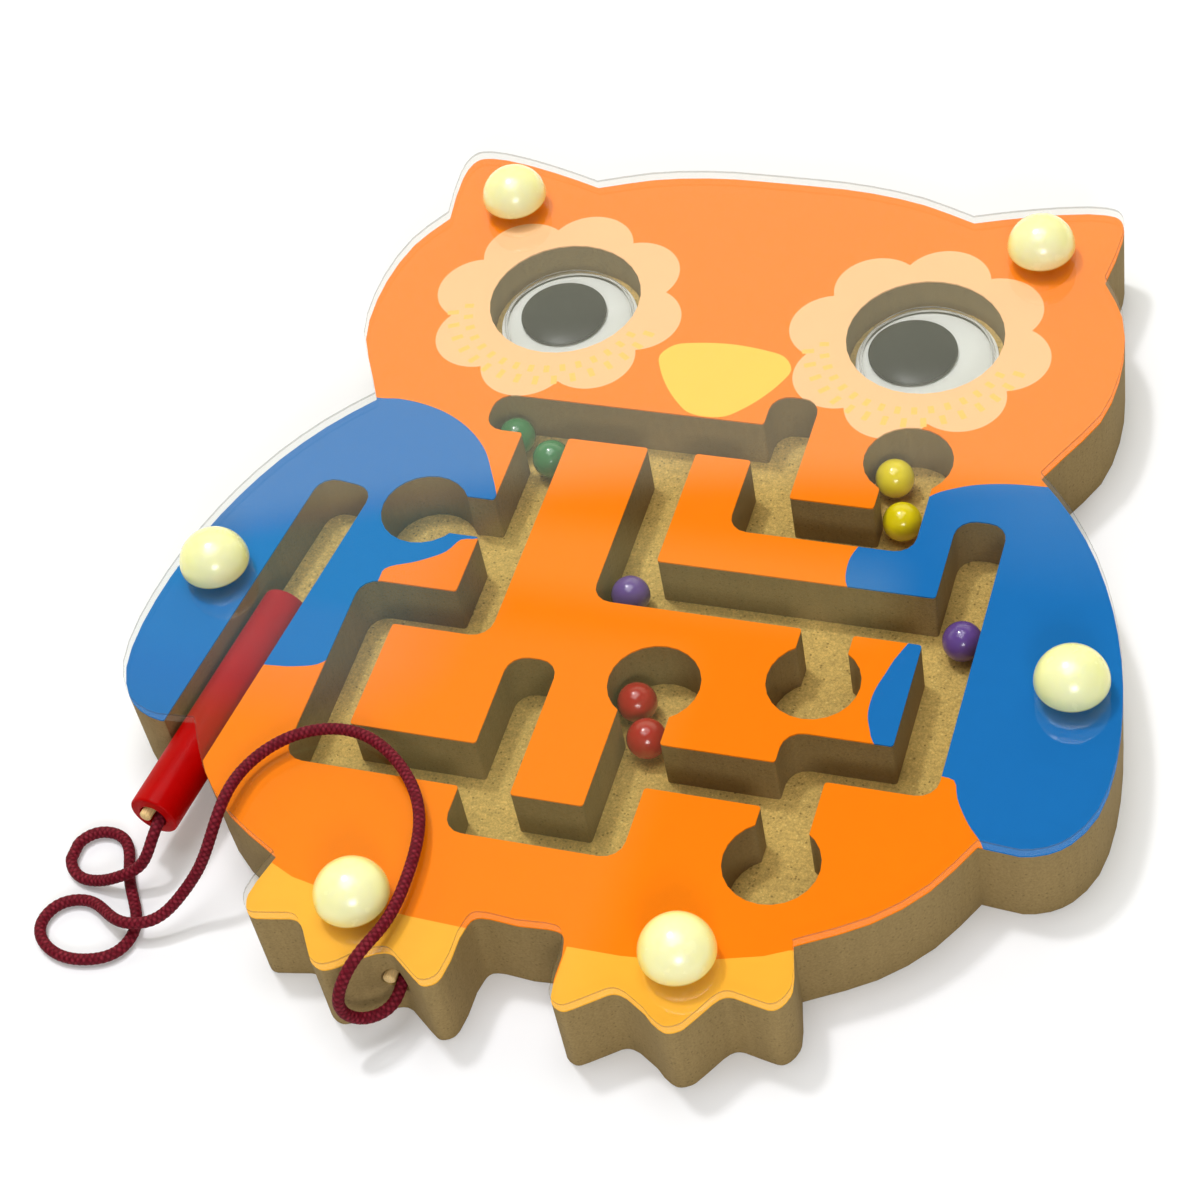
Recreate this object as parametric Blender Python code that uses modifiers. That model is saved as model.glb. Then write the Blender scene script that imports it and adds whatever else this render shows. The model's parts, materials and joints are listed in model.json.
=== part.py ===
"""A magnetic maze board in the outline of an owl, lying flat on its back.

Metres, +Z up, +Y towards the ears. The origin is the middle of the board's box, on the table.
A routed board carries a printed sheet and a clear cover, held down by six domed plugs. Eight painted balls roll in
the channels, a wand on a cord rests in a bay at the left edge, and two googly eyes sit in round recesses.
"""
import math

import bmesh
import bpy
import numpy as np
from mathutils import Matrix, Vector

# Gaps and fits
FILM_GAP = 0.00005
FIT_GAP = 0.0003
CUT_OVERRUN = 0.003
MERGE_DISTANCE = 0.000001

# Balls
BALL_DIAMETER = 0.008

# Board, print and cover
BOARD_WIDTH = 0.195
BOARD_HEIGHT = 0.2148
BOARD_THICKNESS = 0.018
PRINT_THICKNESS = 0.0003
COVER_THICKNESS = 0.0022
OUTLINE_STEP = 0.006
OUTLINE_FINE_STEP = 0.0003
OUTLINE_TURN = math.radians(11)

# Routed channels and pockets
CHANNEL_CLEARANCE = 0.0022
WIDE_CHANNEL_EXTRA = 0.0016
CHANNEL_HEADROOM = 0.0035
CHANNEL_CORNER_RADIUS = 0.004
ISLAND_CORNER_RADIUS = 0.0015
POCKET_CLEARANCE = 0.0022

# Googly eyes and their recesses
EYE_RECESS_DEPTH = 0.0075
EYE_RECESS_CLEARANCE = 0.0015
EYE_BACK_DIAMETER = 0.030
EYE_BACK_THICKNESS = 0.001
EYE_BACK_BORDER = 0.0007
DOME_WALL = 0.0006
DOME_HEIGHT = 0.0052
PUPIL_DIAMETER = 0.0188
PUPIL_THICKNESS = 0.0008

# Domed plugs
PLUG_HEAD_DIAMETER = 0.0142
PLUG_CROWN_HEIGHT = 0.0068
PLUG_UNDERCURVE_HEIGHT = 0.0016
PLUG_BASE_DIAMETER = 0.010
PLUG_SHANK_DIAMETER = 0.005
PLUG_SHANK_LENGTH = 0.010

# Wand, its magnet and its bay
WAND_DIAMETER = 0.010
WAND_LENGTH = 0.0554
WAND_CHAMFER = 0.0006
WAND_OVERHANG = 0.0166
WAND_BAY_SIDE_CLEARANCE = 0.0012
WAND_TILT = math.radians(7.5)
MAGNET_DIAMETER = 0.006
MAGNET_LENGTH = 0.004

# Cord, its pegs and the holes that both share
CORD_DIAMETER = 0.0024
PEG_DIAMETER = 0.0024
PEG_LENGTH = 0.0075
PEG_PROUD = 0.0016
CORD_HOLE_DEPTH = 0.0085
FOOT_HOLE_HEIGHT = 0.0102

# Faces on round pieces, and the shape of the small caps
ROUND_SEGMENTS = 24
DOME_SEGMENTS = 32
BALL_SEGMENTS = 16
BALL_RINGS = 10
CORNER_SEGMENTS = 4
ISLAND_SEGMENTS = 3
PROFILE_STEPS = 6
DOME_ROUNDNESS = 2.5
PEG_SHOULDER_SHARE = 0.5
PEG_TOP_SHARE = 0.9
PEG_TOP_WIDTH_SHARE = 0.6
CORD_POINTS = 78
CORD_BEVEL_RESOLUTION = 2
CORD_FINENESS = 20

# The right half of the outline, from the top of the head to the gap between the feet, in stretches that meet at
# sharp corners. Each point is a share of half the board's width and a share of half its height.
OUTLINE_SHARES = [
    [(0.0, 1.0), (0.164, 0.997), (0.308, 0.976), (0.436, 0.935)],
    [(0.436, 0.935), (0.533, 0.963), (0.636, 0.986), (0.708, 0.994), (0.745, 0.986), (0.762, 0.955),
     (0.762, 0.880), (0.751, 0.802)],
    [(0.751, 0.802), (0.805, 0.714), (0.831, 0.583), (0.817, 0.444), (0.764, 0.346), (0.726, 0.278)],
    [(0.726, 0.278), (0.800, 0.202), (0.882, 0.085), (0.949, -0.064), (0.988, -0.217), (1.0, -0.366),
     (0.985, -0.460), (0.940, -0.525), (0.877, -0.553), (0.787, -0.549)],
    [(0.787, -0.549), (0.723, -0.650), (0.636, -0.730), (0.509, -0.799)],
    [(0.509, -0.799), (0.525, -0.850), (0.530, -0.892), (0.508, -0.923), (0.416, -0.916), (0.379, -0.960),
     (0.355, -0.991), (0.331, -1.0), (0.305, -0.990), (0.280, -0.971), (0.2205, -0.946), (0.169, -0.976),
     (0.135, -0.995), (0.112, -0.985), (0.102, -0.955), (0.100, -0.893)],
    [(0.100, -0.893), (0.085, -0.852), (0.0, -0.851)],
]

# Where the channels run: x of the columns as shares of half the width, y of the rows as shares of half the height
COLUMN_SHARES = {
    "west_wing": -0.530, "west_chest": -0.324, "west_belly": -0.161, "west_middle": -0.043, "middle": 0.091,
    "east_middle": 0.1805, "east_belly": 0.395, "east_foot": 0.4246, "east_chest": 0.4615, "east_wing": 0.636,
}
ROW_SHARES = {
    "beak": 0.2854, "shoulder": 0.1094, "wing": 0.0144, "chest": -0.0889, "belly": -0.2155, "thigh": -0.4185,
    "knee": -0.4884, "shin": -0.5452, "ankle": -0.6411,
}
# Each channel along X: its row, then the x where its centre line starts and ends
ROW_RUNS_SHARES = [
    ("beak", -0.4123, COLUMN_SHARES["east_middle"]),
    ("shoulder", COLUMN_SHARES["east_middle"], COLUMN_SHARES["east_chest"]),
    ("wing", -0.515, COLUMN_SHARES["west_chest"]),
    ("chest", COLUMN_SHARES["west_middle"], COLUMN_SHARES["east_wing"]),
    ("belly", COLUMN_SHARES["west_wing"], COLUMN_SHARES["west_chest"]),
    ("thigh", COLUMN_SHARES["east_foot"], COLUMN_SHARES["east_wing"]),
    ("knee", COLUMN_SHARES["middle"], COLUMN_SHARES["east_foot"]),
    ("shin", COLUMN_SHARES["west_wing"], COLUMN_SHARES["west_belly"]),
    ("ankle", COLUMN_SHARES["west_belly"], COLUMN_SHARES["middle"]),
]
# Each channel along Y: its column, then the y where its centre line starts and ends
COLUMN_RUNS_SHARES = [
    ("west_wing", ROW_SHARES["shin"], ROW_SHARES["belly"]),
    ("west_chest", ROW_SHARES["belly"], ROW_SHARES["beak"]),
    ("west_belly", ROW_SHARES["ankle"], -0.3422),
    ("west_middle", ROW_SHARES["chest"], ROW_SHARES["beak"]),
    ("middle", ROW_SHARES["ankle"], -0.3105),
    ("east_middle", ROW_SHARES["shoulder"], 0.3636),
    ("east_belly", -0.2565, ROW_SHARES["chest"]),
    ("east_foot", -0.6457, ROW_SHARES["thigh"]),
    ("east_chest", ROW_SHARES["shoulder"], ROW_SHARES["beak"]),
    ("east_wing", ROW_SHARES["thigh"], ROW_SHARES["shoulder"]),
]
POCKET_SHARES = {
    "chest": (0.450, 0.2845), "belly": (0.397, -0.2565), "middle": (0.091, -0.3105), "foot": (0.4236, -0.6457),
    "wing": (-0.515, 0.0172),
}
EYE_SHARES = (0.406, 0.6085)
PLUG_SHARES = {"ear": (0.604, 0.851), "wing": (0.889, -0.2037), "foot": (0.316, -0.8676)}
FOOT_HOLE_SHARES = (-0.2205, -0.946)
WAND_BAY_END_SHARES = (-0.7036, 0.059)
# The bay's length as a share of the board's height
WAND_BAY_LENGTH_SHARE = 0.3189

# Where each ball rests: its pocket or channel crossing, and its place there as shares of the room it has in x and y
BALL_SHARES = {
    "ball_yellow_1": ("pocket", "chest", -0.70, 0.30),
    "ball_green_2": ("crossing", ("west_end", "beak"), -0.55, 0.30),
    "ball_purple_1": ("crossing", ("west_middle", "chest"), -0.30, 0.90),
    "ball_purple_2": ("crossing", ("east_wing", "chest"), 0.55, 0.85),
    "ball_red_1": ("pocket", "middle", -0.88, 0.07),
}
# Where each ball that lies beside another rests: its channel, its place across it as a share of the room it has, and
# its distance from that channel's pocket or crossing as a share of the ball's diameter
BALL_BESIDE_SHARES = {
    "ball_yellow_2": ("east_chest", -0.55, ("pocket", "chest"), -1.21),
    "ball_green_1": ("west_chest", 0.0, ("row", "beak"), -0.58),
    "ball_red_2": ("middle", -0.18, ("pocket", "middle"), -0.97),
}
# How far each pupil has slid, as shares of the room it has
PUPIL_SLIDE_SHARES = {"left": (-0.37, 0.28), "right": (-0.74, 0.23)}

# The cord's route from the wand to the foot: down from the wand, two loops on the table, up over the board's edge,
# across the cover, down in front of the foot and into its hole
CORD_ROUTE = [
    (-0.0779, -0.0722, 0.0118), (-0.0786, -0.0786, 0.0118), (-0.0791, -0.0823, 0.0102), (-0.0812, -0.0854, 0.0064),
    (-0.0856, -0.0874, 0.0042), (-0.0906, -0.0877, 0.0019), (-0.0947, -0.0872, 0.0013), (-0.0986, -0.0824, 0.0013),
    (-0.0959, -0.0769, 0.0013), (-0.0899, -0.0769, 0.0013), (-0.0853, -0.0846, 0.0013), (-0.0816, -0.0908, 0.0013),
    (-0.0792, -0.0962, 0.0013), (-0.0804, -0.1016, 0.0013), (-0.0862, -0.1048, 0.0013), (-0.0929, -0.1044, 0.0013),
    (-0.0979, -0.0996, 0.0013), (-0.0962, -0.0940, 0.0013), (-0.0908, -0.0922, 0.0014), (-0.0854, -0.0948, 0.0029),
    (-0.0799, -0.0972, 0.0045), (-0.0744, -0.0958, 0.0051), (-0.0696, -0.0914, 0.0082), (-0.0656, -0.0872, 0.0138),
    (-0.0634, -0.0830, 0.0194), (-0.0625, -0.0778, 0.0222), (-0.0614, -0.0700, 0.022), (-0.0550, -0.0610, 0.02195),
    (-0.0440, -0.0576, 0.02195), (-0.0330, -0.0626, 0.02195), (-0.0248, -0.0730, 0.02195),
    (-0.0221, -0.0880, 0.02195), (-0.0230, -0.0984, 0.02195), (-0.0256, -0.1056, 0.0217),
    (-0.0277, -0.1102, 0.0182), (-0.0282, -0.1116, 0.0128), (-0.0254, -0.1100, 0.0084), (-0.0214, -0.1060, 0.008),
    (-0.0206, -0.1018, 0.0091), (-0.0206, -0.0964, 0.00925),
]

# Sizes worked out from the driving dimensions
CHANNEL_WIDTH = BALL_DIAMETER + CHANNEL_CLEARANCE
CHANNEL_DEPTH = BALL_DIAMETER + CHANNEL_HEADROOM
POCKET_DIAMETER = 2 * BALL_DIAMETER + POCKET_CLEARANCE
CHANNEL_FLOOR = BOARD_THICKNESS - CHANNEL_DEPTH
PRINT_BOTTOM = BOARD_THICKNESS + FILM_GAP
COVER_BOTTOM = PRINT_BOTTOM + PRINT_THICKNESS + FILM_GAP
COVER_TOP = COVER_BOTTOM + COVER_THICKNESS
PLUG_SEAT = COVER_TOP + FILM_GAP
EYE_FLOOR = BOARD_THICKNESS - EYE_RECESS_DEPTH
EYE_BACK_TOP = EYE_FLOOR + FILM_GAP + EYE_BACK_THICKNESS
DOME_DIAMETER = EYE_BACK_DIAMETER - 2 * EYE_BACK_BORDER
BAY_LENGTH = WAND_BAY_LENGTH_SHARE * BOARD_HEIGHT
BAY_WIDTH = WAND_DIAMETER + 2 * WAND_BAY_SIDE_CLEARANCE
BAY_FLOOR = BOARD_THICKNESS - WAND_DIAMETER - 2 * FIT_GAP
WAND_AXIS_HEIGHT = BAY_FLOOR + FIT_GAP + WAND_DIAMETER / 2
CORD_HOLE_DIAMETER = CORD_DIAMETER + PEG_DIAMETER + 3 * FIT_GAP


# Small helpers

def place(shares):
    """A point on the board from shares of its half width and half height."""
    return Vector((shares[0] * BOARD_WIDTH / 2, shares[1] * BOARD_HEIGHT / 2, 0))


def smooth(points, step):
    """Points at most step apart on a smooth curve through the given points, which keeps to them at every corner."""
    ends = [points[0] * 2 - points[1]] + list(points) + [points[-1] * 2 - points[-2]]
    curve = []
    for before, start, end, after in zip(ends, ends[1:], ends[2:], ends[3:]):
        count = max(1, math.ceil((end - start).length / step))
        spans = [max(math.sqrt((b - a).length), MERGE_DISTANCE) for a, b in
                 ((before, start), (start, end), (end, after))]
        leave = ((start - before) / spans[0] - (end - before) / (spans[0] + spans[1])) * spans[1] + (end - start)
        arrive = ((after - end) / spans[2] - (after - start) / (spans[1] + spans[2])) * spans[1] + (end - start)
        for index in range(count):
            t = index / count
            curve.append(start * (1 + t * t * (2 * t - 3)) + end * (t * t * (3 - 2 * t))
                         + leave * (t * (1 - t) ** 2) + arrive * (t * t * (t - 1)))
    return curve + [points[-1]]


def thinned(points):
    """The points of a fine curve that are needed: a new one after each small turn, or after the longest step."""
    kept = [points[0]]
    turned_by = 0
    for before, point, after in zip(points, points[1:], points[2:]):
        turned_by += (point - before).angle(after - point)
        if turned_by > OUTLINE_TURN or (point - kept[-1]).length > OUTLINE_STEP:
            kept.append(point)
            turned_by = 0
    return kept + [points[-1]]


def collection(name):
    """A new collection in the scene."""
    made = bpy.data.collections.new(name)
    bpy.context.scene.collection.children.link(made)
    return made


def paint(name, colour, roughness, metallic=0.0, alpha=1.0):
    """A Principled material."""
    material = bpy.data.materials.new(name)
    material.use_nodes = True
    shader = material.node_tree.nodes["Principled BSDF"]
    shader.inputs["Base Color"].default_value = (*colour, 1)
    shader.inputs["Roughness"].default_value = roughness
    shader.inputs["Metallic"].default_value = metallic
    shader.inputs["Alpha"].default_value = alpha
    return material


def add_object(name, data, home, material=None, location=(0, 0, 0), parent=None):
    """An object in its collection, painted and placed, under its parent if it has one."""
    made = bpy.data.objects.new(name, data)
    home.objects.link(made)
    made.location = location
    made.parent = parent
    if material:
        data.materials.append(material)
    return made


def add_cutter(name, data, home, location=(0, 0, 0), rotation=(0, 0, 0)):
    """A helper that only cuts."""
    made = add_object(name, data, home, location=location)
    made.rotation_euler = rotation
    made.hide_render = True
    made.display_type = "WIRE"
    return made


def mesh_from(shape, name):
    """The mesh of a filled bmesh, with smooth faces and sharp edges."""
    mesh = bpy.data.meshes.new(name)
    shape.to_mesh(mesh)
    shape.free()
    shade_round(mesh)
    return mesh


def shade_round(mesh):
    """Smooth faces with sharp edges past thirty degrees."""
    mesh.shade_smooth()
    mesh.set_sharp_from_angle(angle=math.radians(30))


def disc_mesh(name, radius, low, high, segments=ROUND_SEGMENTS):
    """A closed cylinder between two heights."""
    shape = bmesh.new()
    bmesh.ops.create_cone(shape, cap_ends=True, segments=segments, radius1=radius, radius2=radius,
                          depth=high - low, matrix=Matrix.Translation((0, 0, (low + high) / 2)))
    return mesh_from(shape, name)


def bar_mesh(name, low, high, radius):
    """A box between two corners whose upright edges are rounded."""
    shape = bmesh.new()
    size = high - low
    bmesh.ops.create_cube(shape, size=1)
    bmesh.ops.scale(shape, vec=size, verts=shape.verts)
    bmesh.ops.translate(shape, vec=(low + high) / 2, verts=shape.verts)
    upright = [edge for edge in shape.edges if (edge.verts[0].co - edge.verts[1].co).xy.length < MERGE_DISTANCE]
    round_by = min(radius, 0.45 * min(size.x, size.y))
    bmesh.ops.bevel(shape, geom=upright, offset=round_by, segments=CORNER_SEGMENTS, profile=0.5, affect="EDGES")
    return mesh_from(shape, name)


def turned(name, profile, home, material, segments=ROUND_SEGMENTS, location=(0, 0, 0), parent=None):
    """A turned solid: a profile of radii and heights, from the top down the outer side, swept round Z."""
    mesh = bpy.data.meshes.new(name)
    corners = [(radius, 0, height) for radius, height in profile]
    mesh.from_pydata(corners, [(index, index + 1) for index in range(len(corners) - 1)], [])
    made = add_object(name, mesh, home, material, location, parent)
    screw = made.modifiers.new("turn", "SCREW")
    screw.axis = "Z"
    screw.angle = math.tau
    screw.steps = segments
    screw.render_steps = segments
    screw.use_merge_vertices = True
    screw.merge_threshold = MERGE_DISTANCE
    screw.use_smooth_shade = True
    return made


def cut(target, operand, name):
    """Takes a cutter, or every cutter in a collection, out of the target."""
    boolean = target.modifiers.new(name, "BOOLEAN")
    boolean.operation = "DIFFERENCE"
    boolean.solver = "EXACT"
    if isinstance(operand, bpy.types.Collection):
        boolean.operand_type = "COLLECTION"
        boolean.collection = operand
    else:
        boolean.object = operand


def tidy_flats(target):
    """Merges the flat faces that the cuts have split."""
    dissolve = target.modifiers.new("tidy_flats", "DECIMATE")
    dissolve.decimate_type = "DISSOLVE"
    dissolve.angle_limit = math.radians(0.2)


def loose_bodies(mesh):
    """The sets of faces that hang together, largest first."""
    shape = bmesh.new()
    shape.from_mesh(mesh)
    left = set(shape.faces)
    bodies = []
    while left:
        front = [left.pop()]
        body = []
        while front:
            face = front.pop()
            body.append(face.index)
            near = {other for edge in face.edges for other in edge.link_faces} & left
            left -= near
            front += near
        bodies.append(set(body))
    shape.free()
    return sorted(bodies, key=len, reverse=True)


def part_of_mesh(mesh, faces, name):
    """A copy of the mesh with only the given faces."""
    shape = bmesh.new()
    shape.from_mesh(mesh)
    others = [face for face in shape.faces if face.index not in faces]
    bmesh.ops.delete(shape, geom=others, context="FACES")
    return mesh_from(shape, name)


# Outline and the three sheets that share it

def outline_points():
    """The closed owl outline, with its box fitted exactly to the board's width and height."""
    half = []
    for stretch in OUTLINE_SHARES:
        half += thinned(smooth([place(point) for point in stretch], OUTLINE_FINE_STEP))[:-1]
    half.append(place(OUTLINE_SHARES[-1][-1]))
    mirrored = [Vector((-point.x, point.y, 0)) for point in half[-2:0:-1]]
    outline = half + mirrored
    wide = max(point.x for point in outline)
    top = max(point.y for point in outline)
    low = min(point.y for point in outline)
    fit = BOARD_HEIGHT / (top - low)
    return [Vector((point.x * BOARD_WIDTH / 2 / wide, (point.y - (top + low) / 2) * fit, 0)) for point in outline]


def sheet(name, outline, low, thickness, home, material):
    """A flat sheet of the outline, made as a filled curve and turned into a closed mesh."""
    curve = bpy.data.curves.new(name + "_curve", "CURVE")
    curve.dimensions = "2D"
    curve.fill_mode = "BOTH"
    curve.extrude = thickness / 2
    spline = curve.splines.new("POLY")
    spline.points.add(len(outline) - 1)
    for target, point in zip(spline.points, outline):
        target.co = (point.x, point.y, 0, 1)
    spline.use_cyclic_u = True
    guide = bpy.data.objects.new(name + "_curve", curve)
    guide.location.z = low + thickness / 2
    bpy.context.scene.collection.objects.link(guide)
    bpy.context.view_layer.update()
    graph = bpy.context.evaluated_depsgraph_get()
    mesh = bpy.data.meshes.new_from_object(guide.evaluated_get(graph))
    mesh.name = name
    shape = bmesh.new()
    shape.from_mesh(mesh)
    bmesh.ops.remove_doubles(shape, verts=shape.verts, dist=MERGE_DISTANCE)
    bmesh.ops.recalc_face_normals(shape, faces=shape.faces)
    shape.to_mesh(mesh)
    shape.free()
    made = add_object(name, mesh, home, material)
    made.matrix_world = guide.matrix_world
    bpy.data.objects.remove(guide)
    return made


def split_print(face, home, material):
    """The channels run all round the middle of the print, so it is cut into an outer and a middle piece."""
    bpy.context.view_layer.update()
    graph = bpy.context.evaluated_depsgraph_get()
    mesh = bpy.data.meshes.new_from_object(face.evaluated_get(graph))
    mesh.materials.clear()
    names = ["printed_face", "printed_face_middle"]
    place_in_world = face.matrix_world.copy()
    bpy.data.objects.remove(face)
    for index, faces in enumerate(loose_bodies(mesh)):
        name = names[index] if index < len(names) else f"printed_face_{index + 1}"
        piece = add_object(name, part_of_mesh(mesh, faces, name), home, material)
        piece.matrix_world = place_in_world


# Cutters

def channel_bars():
    """The low and high corners of every straight channel, in plan."""
    bars = []
    for row, start, end in ROW_RUNS_SHARES:
        half = CHANNEL_WIDTH / 2 + (WIDE_CHANNEL_EXTRA / 2 if row == "chest" else 0)
        low = place((start, ROW_SHARES[row])) - Vector((CHANNEL_WIDTH / 2, half, 0))
        high = place((end, ROW_SHARES[row])) + Vector((CHANNEL_WIDTH / 2, half, 0))
        bars.append((low, high))
    for column, start, end in COLUMN_RUNS_SHARES:
        half = Vector((CHANNEL_WIDTH / 2, CHANNEL_WIDTH / 2, 0))
        bars.append((place((COLUMN_SHARES[column], start)) - half, place((COLUMN_SHARES[column], end)) + half))
    return bars


def round_island_corners(shape):
    """Rounds the upright edges where two channels meet, which are the corners of the islands between them."""
    inner = []
    for edge in shape.edges:
        along = edge.verts[0].co - edge.verts[1].co
        if len(edge.link_faces) != 2 or along.xy.length > MERGE_DISTANCE or not edge.is_valid:
            continue
        if edge.calc_face_angle_signed() < -math.radians(60):
            inner.append(edge)
    bmesh.ops.bevel(shape, geom=inner, offset=ISLAND_CORNER_RADIUS, segments=ISLAND_SEGMENTS, profile=0.5,
                    affect="EDGES", clamp_overlap=True)


def channel_cutter(home):
    """All channels and pockets as one cutter, with the corners of the islands between them rounded."""
    top = COVER_BOTTOM + CUT_OVERRUN
    pieces = []
    for index, (low, high) in enumerate(channel_bars()):
        low.z = CHANNEL_FLOOR
        high.z = top
        name = f"channel_{index + 1:02d}"
        pieces.append(add_cutter(name, bar_mesh(name, low, high, CHANNEL_CORNER_RADIUS), home))
    for name, shares in POCKET_SHARES.items():
        data = disc_mesh("pocket_" + name, POCKET_DIAMETER / 2, CHANNEL_FLOOR, top)
        pieces.append(add_cutter("pocket_" + name, data, home, location=place(shares)))
    others = bpy.data.collections.new("channel_pieces")
    for piece in pieces[1:]:
        others.objects.link(piece)
    union = pieces[0].modifiers.new("join", "BOOLEAN")
    union.operation = "UNION"
    union.solver = "MANIFOLD"
    union.operand_type = "COLLECTION"
    union.collection = others
    bpy.context.view_layer.update()
    graph = bpy.context.evaluated_depsgraph_get()
    mesh = bpy.data.meshes.new_from_object(pieces[0].evaluated_get(graph))
    for piece in pieces:
        bpy.data.objects.remove(piece)
    bpy.data.collections.remove(others)
    shape = bmesh.new()
    shape.from_mesh(mesh)
    bmesh.ops.remove_doubles(shape, verts=shape.verts, dist=MERGE_DISTANCE)
    bmesh.ops.dissolve_limit(shape, angle_limit=math.radians(1), verts=shape.verts, edges=shape.edges)
    round_island_corners(shape)
    shape.to_mesh(mesh)
    shape.free()
    return add_cutter("channel_network", mesh, home)


def eye_cutters(home):
    """The two round recesses for the eyes."""
    radius = EYE_BACK_DIAMETER / 2 + EYE_RECESS_CLEARANCE
    for side, name in ((-1, "left"), (1, "right")):
        data = disc_mesh("eye_recess_" + name, radius, EYE_FLOOR, COVER_BOTTOM + CUT_OVERRUN, DOME_SEGMENTS)
        add_cutter("eye_recess_" + name, data, home, location=eye_place(side))


def bay_cutter(home):
    """The slanted bay for the wand, closed at its upper end and open through the board's lower left edge."""
    low = Vector((-BAY_WIDTH / 2, -BAY_LENGTH - BAY_WIDTH, BAY_FLOOR))
    high = Vector((BAY_WIDTH / 2, 0, COVER_BOTTOM + CUT_OVERRUN))
    data = bar_mesh("wand_bay", low, high, CHANNEL_CORNER_RADIUS)
    add_cutter("wand_bay", data, home, location=place(WAND_BAY_END_SHARES), rotation=(0, 0, -WAND_TILT))


def plug_cutters(home):
    """The plug holes, through the cover and the print and blind in the board."""
    bottom = PLUG_SEAT - PLUG_SHANK_LENGTH - FIT_GAP
    for name, spot in plug_places():
        data = disc_mesh("hole_" + name, PLUG_SHANK_DIAMETER / 2 + FIT_GAP, bottom, COVER_TOP + CUT_OVERRUN)
        add_cutter("hole_" + name, data, home, location=spot)


def foot_hole_cutter(home):
    """The cord's hole, level and pointing up the board from the notch between two toes."""
    data = disc_mesh("foot_hole", CORD_HOLE_DIAMETER / 2, -CORD_HOLE_DEPTH, CUT_OVERRUN)
    spot = place(FOOT_HOLE_SHARES) + Vector((0, 0, FOOT_HOLE_HEIGHT))
    return add_cutter("foot_hole", data, home, location=spot, rotation=(math.radians(90), 0, 0))


# Places of the fitted pieces

def eye_place(side):
    """The middle of an eye recess."""
    return place((side * EYE_SHARES[0], EYE_SHARES[1]))


def plug_places():
    """The six plugs, as names and places."""
    return [(f"{part}_{name}", place((side * shares[0], shares[1])))
            for part, shares in PLUG_SHARES.items() for side, name in ((-1, "left"), (1, "right"))]


# Pieces

def add_plug(name, spot, home, material):
    """A domed plug: a crown, an under-curve to its base, and a shank."""
    head = PLUG_HEAD_DIAMETER / 2
    base = PLUG_BASE_DIAMETER / 2
    shank = PLUG_SHANK_DIAMETER / 2
    profile = []
    for index in range(PROFILE_STEPS + 1):
        angle = math.radians(90) * index / PROFILE_STEPS
        profile.append((head * math.sin(angle), PLUG_UNDERCURVE_HEIGHT + PLUG_CROWN_HEIGHT * math.cos(angle)))
    for index in range(1, PROFILE_STEPS // 2 + 1):
        angle = math.radians(90) * index / (PROFILE_STEPS // 2)
        profile.append((base + (head - base) * math.cos(angle), PLUG_UNDERCURVE_HEIGHT * (1 - math.sin(angle))))
    profile += [(shank, 0), (shank, -PLUG_SHANK_LENGTH), (0, -PLUG_SHANK_LENGTH)]
    turned("plug_" + name, profile, home, material, location=spot + Vector((0, 0, PLUG_SEAT)))


def add_balls(home):
    """The eight balls, two of each colour, each resting a small gap above the channel floor."""
    colours = {
        "green": paint("green_paint", (0.026, 0.258, 0.078), 0.25),
        "yellow": paint("yellow_paint", (0.693, 0.552, 0.0), 0.25),
        "purple": paint("purple_paint", (0.105, 0.050, 0.238), 0.25),
        "red": paint("red_paint", (0.462, 0.013, 0.013), 0.25),
    }
    radius = BALL_DIAMETER / 2
    lane_room = CHANNEL_CLEARANCE / 2
    pocket_room = POCKET_DIAMETER / 2 - radius
    height = CHANNEL_FLOOR + FIT_GAP + radius
    places = {}
    for name, (kind, where, across, along) in BALL_SHARES.items():
        if kind == "pocket":
            places[name] = place(POCKET_SHARES[where]) + Vector((across, along, 0)) * pocket_room
            continue
        column, row = where
        column_share = ROW_RUNS_SHARES[0][1] if column == "west_end" else COLUMN_SHARES[column]
        room = lane_room + (WIDE_CHANNEL_EXTRA if row == "chest" else 0)
        places[name] = place((column_share, ROW_SHARES[row])) + Vector((across * lane_room, along * room, 0))
    for name, (column, across, (kind, where), along) in BALL_BESIDE_SHARES.items():
        level = POCKET_SHARES[where][1] if kind == "pocket" else ROW_SHARES[where]
        spot = place((COLUMN_SHARES[column], level))
        places[name] = spot + Vector((across * lane_room, along * BALL_DIAMETER, 0))
    for name, spot in places.items():
        shape = bmesh.new()
        bmesh.ops.create_uvsphere(shape, u_segments=BALL_SEGMENTS, v_segments=BALL_RINGS, radius=radius)
        add_object(name, mesh_from(shape, name), home, colours[name.split("_")[1]],
                   spot + Vector((0, 0, height)))


def rounded_profile(radius, height):
    """Radii and heights down a rounded cap, from its top to its rim."""
    profile = []
    for index in range(PROFILE_STEPS + 1):
        angle = math.radians(90) * index / PROFILE_STEPS
        profile.append((radius * math.sin(angle) ** (2 / DOME_ROUNDNESS),
                        height * math.cos(angle) ** (2 / DOME_ROUNDNESS)))
    profile[0] = (0, height)
    profile[-1] = (radius, 0)
    return profile


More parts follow.
